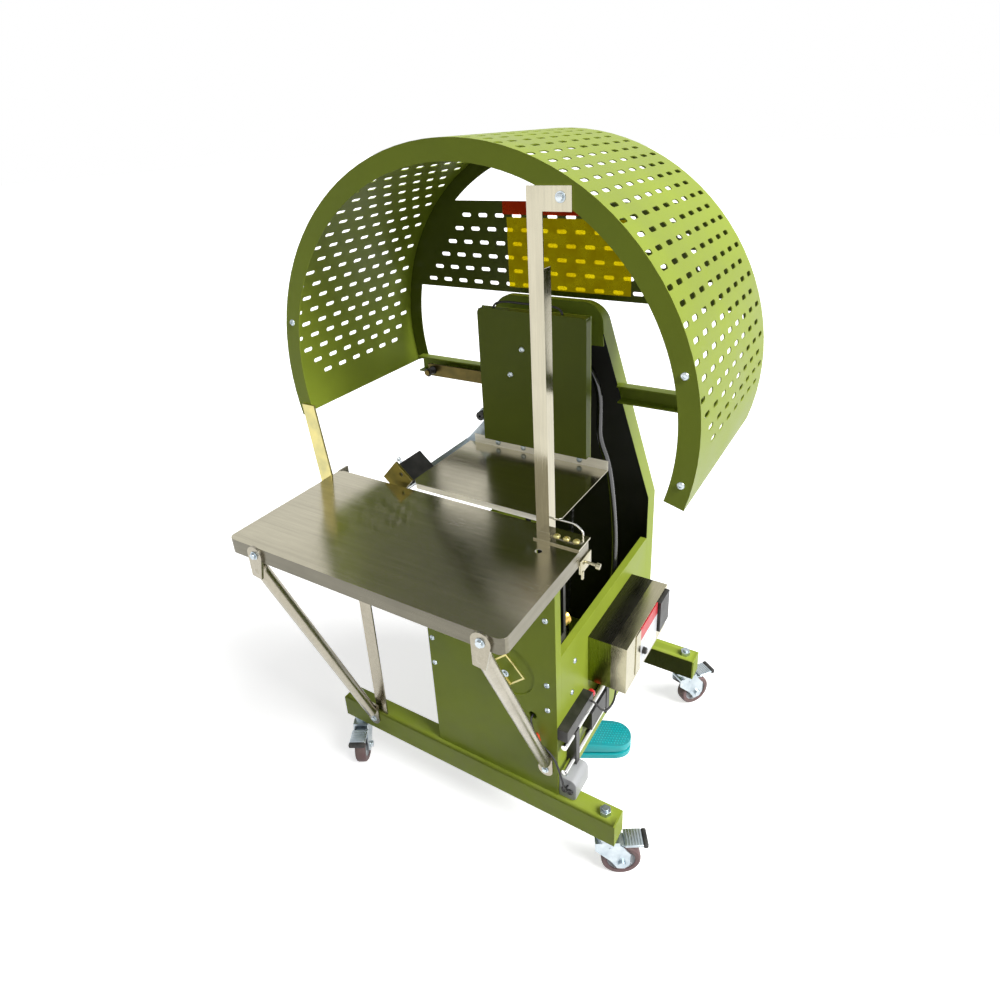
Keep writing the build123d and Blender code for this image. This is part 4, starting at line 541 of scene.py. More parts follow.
def aim(place, direction, about=0.0):
    """A matrix that moves a part to place and turns its Z axis along direction."""
    turn = Vector(direction).to_track_quat("Z", "Y").to_matrix().to_4x4()
    return Matrix.Translation(place) @ turn @ Matrix.Rotation(about, 4, "Z")


def join_in(bm, part, matrix=Matrix.Identity(4), index=0):
    """Adds a part to a bmesh, moved by matrix and with one finish, and frees it."""
    give_finish(part.faces, index)
    bmesh.ops.transform(part, matrix=matrix, verts=part.verts)
    mesh = mesh_of("part", part)
    bm.from_mesh(mesh)
    bpy.data.meshes.remove(mesh)


def add_copy(bm, mesh, matrix):
    """Adds a copy of a mesh to a bmesh, moved by matrix."""
    before = len(bm.verts)
    bm.from_mesh(mesh)
    bm.verts.ensure_lookup_table()
    bmesh.ops.transform(bm, matrix=matrix, verts=bm.verts[before:])


def thicken(bm, height):
    """Gives a flat outline a height along Z."""
    grown = bmesh.ops.extrude_face_region(bm, geom=bm.faces[:], use_keep_orig=True)["geom"]
    tops = [item for item in grown if isinstance(item, bmesh.types.BMVert)]
    bmesh.ops.translate(bm, vec=(0, 0, height), verts=tops)
    bmesh.ops.recalc_face_normals(bm, faces=bm.faces)


print("placing ready")


# %% Bars, turned parts and bolt heads
def box_bar(bm, low, high, width, matrix, index=0, segments=2):
    """A block between two corners in millimetres, its edges rounded, laid in place by matrix."""
    part = bmesh.new()
    low, high = mm(*low), mm(*high)
    place = Matrix.Translation((low + high) / 2) @ Matrix.Diagonal((*(high - low), 1))
    bmesh.ops.create_cube(part, size=1.0, matrix=place)
    bevel(part, part.edges[:], width, segments)
    join_in(bm, part, matrix, index)


def turned(bm, outline, place, direction, steps=32, index=0):
    """A turned part. outline is a list of (radius, height) in millimetres, from the axis to the axis."""
    part = bmesh.new()
    verts = [part.verts.new((radius * MM, 0, height * MM)) for radius, height in outline]
    edges = [part.edges.new(pair) for pair in zip(verts, verts[1:])]
    bmesh.ops.spin(part, geom=verts + edges, cent=(0, 0, 0), axis=(0, 0, 1), angle=math.tau, steps=steps,
                   use_merge=True)
    bmesh.ops.remove_doubles(part, verts=part.verts, dist=0.000002)
    bmesh.ops.recalc_face_normals(part, faces=part.faces)
    join_in(bm, part, aim(place, direction), index)


RIM = 0.4       # how far a disc's rims are rounded, in millimetres


def disc(bm, place, direction, radius, height, index=0):
    """A short round bar from place along direction, its rims rounded."""
    turned(bm, [(0, 0), (radius - RIM, 0), (radius, RIM), (radius, height - RIM), (radius - RIM, height),
                (0, height)], place, direction, index=index)


def hexagon(bm, place, direction, radius, height, index=0, about=0.0):
    """The head of a hexagon bolt, from place along direction."""
    part = bmesh.new()
    bmesh.ops.create_cone(part, cap_ends=True, segments=6, radius1=radius * MM, radius2=radius * MM,
                          depth=height * MM, matrix=Matrix.Translation((0, 0, height * MM / 2)))
    bevel(part, part.edges[:], 0.5)
    join_in(bm, part, aim(place, direction, about), index)


print("bars, discs and hexagons ready")


# %% Cutting
def cut_away(bm, tools):
    """Cuts one bmesh with another and gives the result. Both are freed."""
    stock, tool = [placed(name, mesh_of(name, source)) for name, source in (("stock", bm), ("tool", tools))]
    cutter = stock.modifiers.new("cut", "BOOLEAN")
    cutter.operation = "DIFFERENCE"
    cutter.object = tool
    seen = stock.evaluated_get(bpy.context.evaluated_depsgraph_get())
    result = bmesh.new()
    result.from_mesh(bpy.data.meshes.new_from_object(seen))
    for item in (stock, tool):
        bpy.data.objects.remove(item)
    return result


print("cutting ready")


# %% [markdown]
# ## The camera
#
# It stands as high as the machine's top, ahead and to the right, and looks down at the machine
# through a wide lens. The view's up direction leans slightly, as when a camera is held in the hand.

# %% Camera
VIEW_FROM = layout(559, -797.5, 1316)
VIEW_ALONG = Vector((-0.4895, 0.7675, -0.414))
VIEW_RIGHT = Vector((0.854, 0.518, -0.0493))
LENS = 24.78
SHIFT_UP = -0.065

lens = bpy.data.cameras.new("studio_camera")
lens.lens = LENS
lens.shift_y = SHIFT_UP
camera = placed("studio_camera", lens)
back = -VIEW_ALONG.normalized()
across = (VIEW_RIGHT - VIEW_RIGHT.project(back)).normalized()
camera.matrix_world = Matrix.Translation(VIEW_FROM) @ turn_to(across, back.cross(across))
bpy.context.scene.camera = camera
print("camera at", [round(v, 3) for v in VIEW_FROM])


# %% [markdown]
# ## Wires, conduit and the foot switch cord
#
# A wire is a smooth line of one real length. Each route below is the list of points that the CAD
# tubes follow, and a NURBS curve led by them gives the jacket. The corrugated conduit can't be a
# plain round tube, so its rings are laid along points read from the same kind of curve.

# %% Cord helpers
def route(*points):
    return [layout(*point) for point in points]


def route_curve(name, points, radius):
    """A NURBS curve of order 3 along a route's points, with a round jacket if radius isn't 0."""
    curve = bpy.data.curves.new(name, "CURVE")
    curve.dimensions = "3D"
    curve.bevel_depth = radius * MM
    curve.bevel_resolution = 4
    curve.resolution_u = 12
    curve.use_fill_caps = True
    spline = curve.splines.new("NURBS")
    spline.points.add(len(points) - 1)
    for point, place in zip(spline.points, points):
        point.co = (*place, 1)
    spline.order_u = 3
    spline.use_endpoint_u = True
    return curve


def curve_points(points):
    """The points of the smooth curve that a route gives."""
    bare = bpy.data.objects.new("route", route_curve("route", points, 0))
    fine = [vert.co.copy() for vert in bpy.data.meshes.new_from_object(bare).vertices]
    bpy.data.objects.remove(bare)
    return fine


def cord(name, points, radius, node):
    """A plain black wire along a route."""
    line = curve_points(points)
    curve = route_curve(name, points, radius)
    curve.materials.append(black_cord)
    made = placed(name, curve)
    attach(made, "machine")
    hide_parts(node)
    slot_of(node)


# %% Foot switch cord and panel wires
switch_yaw = math.radians(28.5)
SWITCH_AT = (97, 263)
SWITCH_LENGTH = 160
along = Vector((math.cos(switch_yaw), math.sin(switch_yaw)))
heel = Vector(SWITCH_AT) - along * SWITCH_LENGTH / 2
leave = heel - along * 40
JUNCTION_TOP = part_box("cable_junction")[0].z / MM
switch_route = route((156, 44, JUNCTION_TOP), (156, 44, 110), (130, 60, 72), (88, 74, 40), (40, 84, 18),
                     (-8, 96, 6), (-46, 124, 4), (-52, 168, 4), (*leave, 6), (*heel, 6))
cord("switch_cord", switch_route, 3.0, "foot_switch_cord")

wire_in = route((88, 2, 334), (88, -9, 334), (93, -12, 318), (98, -12, 304))
wire_out = route((104, -12, 287), (115, -7, 273), (132, -6, 258), (142, -7, 236), (150, -9, 212),
                 (156, -10, 190), (156, 2, 190))
button_lead = route((158, 100, 313), (167, 100, 313), (175, 106, 293), (182, 120, 281), (187, 138, 286),
                    (189, 146, 305), (189, 146, 330))
HEAD_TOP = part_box("head_cover")[1].z / MM
cover_loop = route((-75, 198, HEAD_TOP), (-75, 198, HEAD_TOP + 8), (-52, 198, HEAD_TOP + 14),
                   (-10, 199, HEAD_TOP + 12), (36, 198, HEAD_TOP + 14), (58, 198, HEAD_TOP + 8),
                   (58, 198, HEAD_TOP))
for name, line in (("panel_wire", wire_in), ("junction_wire", wire_out), ("button_lead", button_lead),
                   ("cover_lead", cover_loop)):
    cord(name, line, 2.0, "panel_wires")

bm = bmesh.new()
plug_from, plug_to = wire_in[-1], wire_out[0]
plug_way = (plug_to - plug_from).normalized()
turned(bm, [(0, 0), (3.4, 0), (4.6, 1.5), (6.3, 2.0), (6.5, 9.0), (5.2, 9.6), (5.2, 11.0), (6.4, 11.6),
            (6.4, 16.0), (4.0, 17.6), (3.0, 18.0), (0, 18.0)], plug_from, plug_way, steps=20)
for k in range(6):
    side = aim(plug_from, plug_way, k * math.tau / 6)
    box_bar(bm, (5.6, -0.7, 3), (7.0, 0.7, 8), 0.2, side)
piece("wire_connector", bm, [orange_plastic], slot="red_plastic")

# %% Corrugated conduit
conduit_top = AXIS.z / MM - 15
CONDUIT_STEPS = ((44, -20, 0), (44, 0, 0), (62, 8, 14), (86, 14, 62), (84, 20, 124), (80, 26, 170),
                 (98, 34, 225), (102, 50, 320), (104, 60, 410), (110, 44, 484), (112, 16, 530),
                 (114, 0, 538), (135.5, 0, 538))
conduit_route = [layout(x, 276 + back, conduit_top - down) for x, back, down in CONDUIT_STEPS]


def even_points(points, step):
    """Points along a route's curve, a step apart."""
    fine = curve_points(points)
    spaced, left = [fine[0]], step
    for start, end in zip(fine, fine[1:]):
        run = (end - start).length
        while left <= run:
            spaced.append(start.lerp(end, left / run))
            left += step
        left -= run
    return spaced


def ringed_hose(name, points, radius, ridge, pitch, finish, node):
    """A hose with ridges: one ring of vertices is extruded along the route, wide and narrow in turn."""
    line = even_points(points, pitch / 2 * MM)
    bm = bmesh.new()
    heading = (line[1] - line[0]).normalized()
    ring = bmesh.ops.create_circle(bm, segments=14, radius=radius * MM, matrix=aim(line[0], heading))["verts"]
    edges = each_once(edge for vert in ring for edge in vert.link_edges)
    bmesh.ops.contextual_create(bm, geom=edges)
    for k in range(1, len(line)):
        grown = bmesh.ops.extrude_edge_only(bm, edges=edges)["geom"]
        ring = [item for item in grown if isinstance(item, bmesh.types.BMVert)]
        edges = [item for item in grown if isinstance(item, bmesh.types.BMEdge)]
        new_heading = (line[k] - line[k - 1]).normalized()
        bend = heading.rotation_difference(new_heading).to_matrix()
        middle_of_ring = sum((vert.co for vert in ring), Vector()) / len(ring)
        grow = (radius + ridge) / radius if k % 2 else radius / (radius + ridge)
        for vert in ring:
            vert.co = line[k] + bend @ (vert.co - middle_of_ring) * grow
        heading = new_heading
    bmesh.ops.contextual_create(bm, geom=edges)
    made = piece(name, bm, [finish], node, crisp=80)


ringed_hose("corrugated_conduit", conduit_route, 5.4, 1.0, 3.4, hose_plastic, "conduit")


# %% [markdown]
# ## The guard's slotted sheet
#
# The guard is one sheet, punched flat and then rolled. These cells do the same. They make the few
# rectangles that the punching repeats, with an obround slot or plain, and lay copies side by side on
# a flat sheet, each row half a pitch further. The sheet gets its thickness while it is flat, so that
# rolling it, which only turns a length into an angle, leaves clean round hole walls. Near both ends
# the sheet stays plain, and the last rows there get shorter and shorter.

# %% Size of the flat guard sheet
SLOT_LONG, SLOT_WIDE = 20.0, 7.4
SLOT_PITCH, ROW_PITCH = 38.6, 24.0
FRONT_SLOT_LONG, FRONT_SLOT_AT = 18.0, 10.5
PLAIN_ROWS = 2
FIRST_IN_LAST_ROW, LAST_IN_LAST_ROW = 3, 13
SHEET_THICK = 1.5

guard_low, guard_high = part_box("guard_sheet")
GUARD_R = guard_high.x - AXIS.x
GUARD_DEPTH = guard_high.y - guard_low.y
sheet_ends = [[v.co.z for v in NODES["guard_sheet"].data.vertices if (v.co.x > AXIS.x) == right]
              for right in (True, False)]
droop_right, droop_left = [math.asin((AXIS.z - min(heights)) / GUARD_R) for heights in sheet_ends]
rolled = math.pi + droop_right + droop_left
rows = round(GUARD_R * rolled / (ROW_PITCH * MM))
row = GUARD_R * rolled / rows
half_cell = SLOT_PITCH / 2 * MM
half_cells = int(GUARD_DEPTH / half_cell)
margin = (GUARD_DEPTH - half_cells * half_cell) / 2
print("flat guard", round(GUARD_R * rolled / MM), "x", round(GUARD_DEPTH / MM), "mm,", rows, "rows")


# %% Cells of the punching
def slot_loop(bm, long, wide):
    """A slot's outline, along Y about the origin: a circle with its two halves pulled apart."""
    turn = Matrix.Rotation(math.radians(15), 4, "Z")
    ring = bmesh.ops.create_circle(bm, segments=12, radius=wide / 2 * MM, matrix=turn)["verts"]
    for vert in ring:
        vert.co.y += math.copysign((long - wide) / 2 * MM, vert.co.y)
    return each_once(edge for vert in ring for edge in vert.link_edges)


def flat_cell(stops, slot_at=None, long=SLOT_LONG):
    """A flat strip, one row wide, with a vertex at each of its stops along Y and perhaps a slot."""
    bm = bmesh.new()
    corners = [(row, y) for y in stops] + [(0, y) for y in reversed(stops)]
    verts = [bm.verts.new((x - row / 2, y, 0)) for x, y in corners]
    edges = [bm.edges.new(pair) for pair in zip(verts, verts[1:] + verts[:1])]
    if slot_at:
        ring = slot_loop(bm, long, SLOT_WIDE)
        bmesh.ops.translate(bm, vec=(0, slot_at, 0), verts=each_once(v for edge in ring for v in edge.verts))
        edges += ring
    bmesh.ops.triangle_fill(bm, edges=edges, use_beauty=True, normal=(0, 0, 1))
    return mesh_of("cell", bm)


def slotted(k, h):
    """Whether row k has a slot that starts at half cell h. Cell -1 is the one at the front edge."""
    from_end = min(k, rows - 1 - k) - PLAIN_ROWS
    if k == PLAIN_ROWS or from_end < 0 or (h + k) % 2 == 0 or h > half_cells - 2:
        return False
    return FIRST_IN_LAST_ROW - from_end <= h <= LAST_IN_LAST_ROW + from_end


edge_cell, plain_cell = flat_cell((0, margin)), flat_cell((0, half_cell))
slot_cell = flat_cell((0, half_cell, 2 * half_cell), half_cell)
front_cell = flat_cell((0, margin, margin + half_cell), FRONT_SLOT_AT * MM, FRONT_SLOT_LONG)
print("a slotted cell has", len(slot_cell.polygons), "faces")

# %% Guard sheet, laid out and rolled
bm = bmesh.new()


def lay_cell(mesh, k, y):
    """Adds one cell of row k that starts at y behind the sheet's front edge."""
    add_copy(bm, mesh, Matrix.Translation(((k + 0.5) * row, y, 0)))


slots = 0
for k in range(rows):
    at_front = slotted(k, -1)
    lay_cell(front_cell if at_front else edge_cell, k, 0)
    slots += at_front
    h = 1 if at_front else 0
    while h < half_cells:
        has_slot = slotted(k, h)
        lay_cell(slot_cell if has_slot else plain_cell, k, margin + h * half_cell)
        slots += has_slot
        h += 2 if has_slot else 1
    lay_cell(edge_cell, k, GUARD_DEPTH - margin)
bmesh.ops.remove_doubles(bm, verts=bm.verts, dist=0.00001)
thicken(bm, SHEET_THICK * MM)
for vert in bm.verts:
    angle = -droop_right + vert.co.x / GUARD_R
    radius = GUARD_R - vert.co.z
    vert.co = (AXIS.x + radius * math.cos(angle), guard_low.y + vert.co.y, AXIS.z + radius * math.sin(angle))
piece("slotted_guard", bm, [green], "guard_sheet", crisp=30)
print(slots, "slots in the guard")


# %% [markdown]
# ## The guard's slotted rear panel
#
# The rear ring and the band across it are one plate. Its slots lie level, in six rows, and here a
# Boolean cut makes them, because the plate's outline is already right in the CAD model. The two
# coloured films on its front are plastic sheet: see-through enough that the slots behind them glow.

# %% Guard rear panel
def level_slots(bm, xs, z, y_from, y_to):
    """Prisms that cut one row of level slots."""
    for x in xs:
        part = bmesh.new()
        edges = slot_loop(part, SLOT_LONG, SLOT_WIDE)
        bmesh.ops.triangle_fill(part, edges=edges, normal=(0, 0, 1))
        thicken(part, y_to - y_from)
        lie = Matrix.Rotation(math.radians(90), 4, "Z")
        join_in(bm, part, aim((x, y_from, z), (0, 1, 0)) @ lie)


BAND_ROWS, BAND_SLOT_PITCH, BAND_ROW_PITCH = 6, 36.0, 24.7
BAND_MARGIN = 46 * MM       # from the guard's outside to the band's last slot
CUT_REACH = 8 * MM          # how far a cut goes before and behind the panel's rear face
panel_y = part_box("guard_rear_panel")[1].y
band_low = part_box("head_cover")[1].z + 15 * MM
band_slot_pitch = BAND_SLOT_PITCH * MM
tools = bmesh.new()
for k in range(BAND_ROWS):
    z = band_low + k * (BAND_ROW_PITCH * MM)
    reach = math.sqrt((GUARD_R - BAND_MARGIN) ** 2 - (z - AXIS.z) ** 2)
    shift = (k % 2) * band_slot_pitch / 2
    count = int(reach / band_slot_pitch)
    xs = [AXIS.x + shift + j * band_slot_pitch for j in range(-count, count + 1)]
    xs = [x for x in xs if abs(x - AXIS.x) < reach]
    level_slots(tools, xs, z, panel_y - CUT_REACH, panel_y + CUT_REACH)
panel = cut_away(merged("guard_rear_panel"), tools)
# The plate takes the green at about a third of its brightness: painted shade.
piece("slotted_rear_panel", panel, [deep_shaded_green], "guard_rear_panel", crisp=30)
print("rear panel cut in", BAND_ROWS, "rows")


# %% Coloured films
def film(name, colour, deep, glow):
    """Coloured plastic sheet. The light that comes through it from behind is a faint glow."""
    sheet = Finish(name)
    haze = sheet.noise(40.0, detail=3)
    depth = sheet.range(haze, 0.35, 0.7, 0, 1)
    tint = sheet.mix(depth, colour, deep)
    lit = sheet.mix(depth, scaled(colour, glow), scaled(deep, glow))
    return sheet.done(base=tint, rough=sheet.range(haze, 0.3, 0.7, 0.22, 0.38), through=0.58, ior=1.01,
                      specular=0.12, glow=1.0, glow_colour=lit)


yellow_film = film("yellow_film", srgb(214, 196, 14), srgb(196, 172, 4), 0.2)
orange_film = film("orange_film", srgb(214, 70, 26), srgb(188, 50, 18), 0.14)
softened("guard_films", 0.1, yellow_film, orange_film, order=(0, 1))
print("films done")


# %% [markdown]
# ## Painted sheet metal
#
# The pedestal's panels, the column, the covers and the two feet are folded or welded sheet. Their
# CAD shapes are right, so they are softened copies: a bent edge has a radius of about the sheet's
# thickness, and a cut edge has a fraction of that.

# %% Painted pieces
for node, width in (("column_plate", 0.5), ("base_pan", 0.5), ("guard_front_rim", 0.5),
                    ("guard_crossbars", 0.6), ("right_side_panel", 0.5)):
    softened(node, width, green)
# Their inner walls take near black: painted shade of the cavity behind them.
for node in ("left_side_panel", "column_back"):
    softened(node, 0.5, green, inside_shade_black, inside=1)
softened("feet", 1.2, green, segments=3)
print("plain panels done")

# %% Front panel and its latch
LATCH_RIM = 3.2
bm = merged("front_panel")
latch_shell = shells(bm)[1]
latch_low, latch_high = face_box(latch_shell)
seen_face = min(latch_shell, key=lambda face: (round(face.normal.y, 2), -face.calc_area()))
give_finish(latch_shell, 1)
bmesh.ops.inset_region(bm, faces=[seen_face], thickness=LATCH_RIM * MM, depth=0, use_even_offset=True)
seen_face.material_index = 0
round_edges(bm, 0.5)
latch_bolt = (latch_low + latch_high) / 2
latch_bolt.y = latch_low.y + 0.5 * MM
disc(bm, latch_bolt, (0, -1, 0), 7.5, 1.4, index=2)
hexagon(bm, latch_bolt - mm(0, 1.2, 0), (0, -1, 0), 5.0, 3.4, index=2, about=0.3)
copied("soft_front_panel", bm, [green, yellow_zinc, zinc], "front_panel")
print("latch", [round(v / MM) for v in latch_high - latch_low], "mm")


# %% Head cover
HEAD_CORNER_R = 9


def head_corner(edge):
    """Whether an edge is one of the head cover's two long top edges, which bend on a larger radius."""
    low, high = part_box("head_cover")
    ends = [vert.co for vert in edge.verts]
    along = (ends[1] - ends[0]).normalized()
    outside = all(min(abs(p.x - low.x), abs(p.x - high.x)) < 0.1 * MM for p in ends)
    return abs(along.y) > 0.99 and outside and all(abs(p.z - high.z) < 0.1 * MM for p in ends)


bm = merged("head_cover")
corners = [edge for edge in bm.edges if head_corner(edge)]
bevel(bm, corners, HEAD_CORNER_R, segments=6)
round_edges(bm, 0.9, segments=3)
# The head cover takes the green at half its brightness as painted shade.
copied("head_box", bm, [shaded_green], "head_cover", crisp=40)
print("head cover with", len(corners), "large corners")


# %% [markdown]
# ## Stainless tables, post, struts and box
#
# The front table's top is brushed from left to right, and its front and right edges are rougher, and
# darker as painted shade. The rear table is a smaller sheet with a near mirror finish, and its upstand
# takes a paler, duller copy of the steel as painted reflection of the white surround. The post stands on
# the front table and is brushed along its height. A small lever hangs from the front table's right rear
# corner.

# %% Front table and lever
bm = merged("front_table")
# The right and front faces take the darker copies of the steel: painted shade.
give_finish([face for face in bm.faces if face.normal.x > 0.5], 2)
give_finish([face for face in bm.faces if face.normal.y < -0.5], 1)
round_edges(bm, 0.5)
copied("soft_front_table", bm, [table_steel, front_shade_steel, side_shade_steel], "front_table")
bm = bmesh.new()
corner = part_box("front_table")[1] - mm(0, 5, 25)
at_corner = Matrix.Translation(corner)
box_bar(bm, (-1.0, -40, -15), (2.5, -4, 8), 0.6, at_corner)
disc(bm, corner + mm(2, -14, -9), (1, 0.1, -0.15), 2.2, 14)
turned(bm, [(0, 0), (4.2, 0), (5.0, 0.8), (5.0, 6.2), (4.2, 7.0), (0, 7.2)], corner + mm(14, -13, -11),
       (1, 0.1, -0.15), 20)
box_bar(bm, (0.5, -36, -26), (3.5, -31, -12), 0.8, at_corner)
piece("table_lever", bm, [box_steel], slot="zinc_steel")

# %% Rear table, post and struts
mirror_sheet = brushed("mirror_sheet", scaled(STAINLESS, 0.95), (0.02, 1, 1), rough=0.19, smear=0.04)
bm = merged("rear_table")
# The front-facing upstand takes the paler copy of the steel: painted reflection.
give_finish([face for face in bm.faces if face.normal.y < -0.5], 1)
round_edges(bm, 0.5)
copied("soft_rear_table", bm, [mirror_sheet, upstand_reflection_steel], "rear_table")
softened("guard_post", 0.4, post_steel, ground_steel, order=(0, 1))
softened("table_supports", 0.5, tube_steel)
softened("guard_side_strut", 0.5, yellow_zinc)
print("rear table, post and struts done")


# %% [markdown]
# ## The control box
#
# A folded sheet box with a face plate screwed on. The plate is pale, its upper edge carries a red band
# and its front margin is bare. The inner part of the lid is darker, and the same part of the front face
# is tinted green: a painted reflection of the green paint beside it. Cutting the faces along level and
# upright planes lets each part take its own finish. The socket at the rear end is a black moulding with a
# stepped front.

# %% Control box
def split_faces(bm, index, place, normal):
    """Cuts the faces that have one finish along a plane."""
    faces = [face for face in bm.faces if face.material_index == index]
    parts = each_once(item for face in faces for item in (face, *face.edges, *face.verts))
    bmesh.ops.bisect_plane(bm, geom=parts, dist=1e-7, plane_co=place, plane_no=normal)


SHEET, SOCKET, PLATE, BAND, DARK_LID, GREEN_REFLECTION_FRONT, MARGIN = range(7)
BAND_HEIGHT = 27 * MM
MARGIN_SHARE, DARK_LID_AND_REFLECTION_SHARE = 0.2, 0.6    # shares of the plate's length and of the box's width

bm = merged("control_box")
*_, socket_shell, plate_shell = shells(bm)
give_finish(socket_shell, SOCKET)
give_finish(plate_shell, PLATE)
plate_low, plate_high = face_box(plate_shell)
band_from = plate_high.z - BAND_HEIGHT
margin_to = plate_low.y + MARGIN_SHARE * (plate_high.y - plate_low.y)
split_faces(bm, PLATE, (0, 0, band_from), (0, 0, 1))
split_faces(bm, PLATE, (0, margin_to, 0), (0, 1, 0))
for face in bm.faces:
    if face.material_index == PLATE:
        at = face.calc_center_median()
        face.material_index = MARGIN if at.y < margin_to else BAND if at.z > band_from else PLATE
box_low, box_high = face_box([face for face in bm.faces if face.material_index == SHEET])
dark_lid_and_reflection_to = box_low.x + DARK_LID_AND_REFLECTION_SHARE * (box_high.x - box_low.x)
split_faces(bm, SHEET, (dark_lid_and_reflection_to, 0, 0), (1, 0, 0))
for face in bm.faces:
    if face.material_index == SHEET and face.calc_center_median().x < dark_lid_and_reflection_to:
        if face.normal.z > 0.9:
            face.material_index = DARK_LID
        # The front faces there take the green tint: painted reflection.
        elif face.normal.y < -0.9:
            face.material_index = GREEN_REFLECTION_FRONT
round_edges(bm, 0.6)
copied("control_box_shell", bm, [box_steel, black_plastic, white_plate, red_band, slate_steel, green_reflection_steel,
                                 box_steel], "control_box")
print("face plate", [round(v / MM) for v in plate_high - plate_low], "mm")

# %% Control knob
knob_at = joint_place("knob_turn")
knob_low, knob_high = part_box("control_knob")
bm = bmesh.new()
knob_base = Vector((knob_high.x - 8 * MM, knob_at.y, knob_at.z))
turned(bm, [(0, 0), (7.0, 0), (7.0, 1.6), (6.2, 2.2), (6.0, 6.6), (5.0, 7.8), (0, 8.0)], knob_base, (1, 0, 0))
for k in range(12):
    flute = aim(knob_base, (1, 0, 0), k * math.tau / 12)
    box_bar(bm, (5.6, -0.6, 2.2), (6.5, 0.6, 6.6), 0.25, flute)
box_bar(bm, (1.5, -0.45, 7.8), (5.2, 0.45, 8.3), 0.1, aim(knob_base, (1, 0, 0)), 1)
disc(bm, Vector((knob_low.x, knob_at.y, knob_at.z)), (1, 0, 0), 3.0, (knob_base.x - knob_low.x) / MM + 1)
piece("knob", bm, [black_plastic, white_plate], "control_knob")
print("knob at", [round(v, 3) for v in knob_at])


# %% [markdown]
# ## Rods, blocks and the push button
#
# Two ground rods run along the pedestal's side between black blocks. A black bar above them ends in
# the push button, whose cap is a glossy red mushroom.

# %% Rods and button
softened("guide_rods", 0.8, ground_steel)
softened("rod_mounts", 1.4, black_plastic, segments=3)
button_low, button_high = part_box("push_button")
button_at = middle("push_button")
bm = bmesh.new()
cap_start = Vector((button_at.x, button_high.y - 10 * MM, button_at.z))
turned(bm, [(0, 0), (6.6, 0), (7.6, 0.6), (8.0, 2.0), (8.0, 6.4), (7.4, 8.4), (5.4, 9.7), (0, 10)], cap_start,
       (0, 1, 0))
disc(bm, Vector((button_at.x, button_low.y, button_at.z)), (0, 1, 0), 4.0,
     (cap_start.y - button_low.y) / MM + 0.5, index=1)
piece("red_button", bm, [red_plastic, black_plastic], "push_button")
print("button", round((button_high.x - button_low.x) / MM), "mm wide")

# %% Cable junction housing
bm = merged("cable_junction")
round_edges(bm, 2.0, segments=4, angle=50)
low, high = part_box("cable_junction")
for y in (low.y + 9 * MM, high.y - 9 * MM):
    turned(bm, [(0, 0), (3.2, 0), (3.2, 0.9), (2.6, 1.2), (1.2, 1.2), (1.0, 0.5), (0, 0.5)],
           Vector((low.x + 12 * MM, y, high.z)), (0, 0, 1), steps=16, index=1)
for x in (low.x + 12 * MM, low.x + 24 * MM):
    turned(bm, [(0, 0), (6.0, 0), (6.0, 2.6), (5.2, 3.4), (3.2, 3.6), (3.0, 2.0), (0, 2.0)],
           Vector((x, low.y, low.z + 22 * MM)), (0, -1, 0), steps=20, index=2)
piece("junction_housing", bm, [grey_plastic, zinc, black_plastic], "cable_junction", closed=False)


# %% [markdown]
# ## The rope arm and its guides
#
# The arm is a welded bar, zinc plated. Its tip plate is passivated olive and the guide block on it is
# black plastic, with a small clamping knob on its left. The shaft that the arm turns on is zinc
# plated, and the head plate on its front end is painted.

# %% Arm, shaft and guide bar
PLATE_FROM = 60 * MM        # faces further than this from the axis belong to the head plate

softened("rope_arm", 0.8, zinc)
softened("arm_tip", 0.6, olive_zinc)
bm = merged("centre_shaft")
for face in bm.faces:
    from_axis = face.calc_center_median() - AXIS
    face.material_index = int(math.hypot(from_axis.x, from_axis.z) > PLATE_FROM)
round_edges(bm, 0.5)
copied("shaft_and_plate", bm, [zinc, green], "centre_shaft")
softened("rope_guide_bar", 0.5, brown_zinc)
softened("arm_guide_block", 1.2, black_plastic, segments=3)
print("arm and shaft done")

# %% Clamping knob on the guide block
block_middle = middle("arm_guide_block")
inward = (Vector((AXIS.x, 0, AXIS.z)) - Vector((block_middle.x, 0, block_middle.z))).normalized()
outward_left = inward.cross(Vector((0, 1, 0)))
reach = max((v.co - block_middle).dot(outward_left) for v in NODES["arm_guide_block"].data.vertices)
bm = bmesh.new()
start = block_middle + outward_left * (reach - 1 * MM) + inward * 5 * MM - mm(0, 14, 0)
disc(bm, start, outward_left, 2.2, 10)
turned(bm, [(0, 0), (3.5, 0), (4.0, 0.6), (4.0, 4.4), (3.5, 5.0), (0, 5.2)], start + outward_left * 8 * MM,
       outward_left, 20)
piece("clamp_knob", bm, [zinc], body="arm", slot="zinc_steel")
print("guide block reaches", round(reach / MM, 1), "mm to its left")


# %% Rope rollers
def grooved_roller(name, node, joint, radius, groove, finish):
    """A rope roller: two rims and a round groove between them."""
    low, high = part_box(node)
    at = joint_place(joint)
    long = (high.y - low.y) / MM
    rise = long / 2 - 2.2
    curve = [(radius - groove * math.cos(math.radians(a)), long / 2 + rise * math.sin(math.radians(a)))
             for a in range(-75, 76, 15)]
    outline = [(0, 0), (radius - 1.0, 0), (radius, 0.8), *curve, (radius, long - 0.8), (radius - 1.0, long),
               (0, long)]
    bm = bmesh.new()
    turned(bm, outline, Vector((at.x, low.y, at.z)), (0, 1, 0), 40)
    piece(name, bm, [finish], node)


grooved_roller("brass_rope_roller", "rope_roller", "rope_roller_spin", 15.0, 2.6, brass)
grooved_roller("arm_rope_roller", "arm_roller", "arm_roller_spin", 9.0, 1.8, dark_steel)
grooved_roller("bar_rope_roller", "guide_bar_roller", "guide_roller_spin", 9.0, 1.8, black_plastic)
print("three rope rollers done")


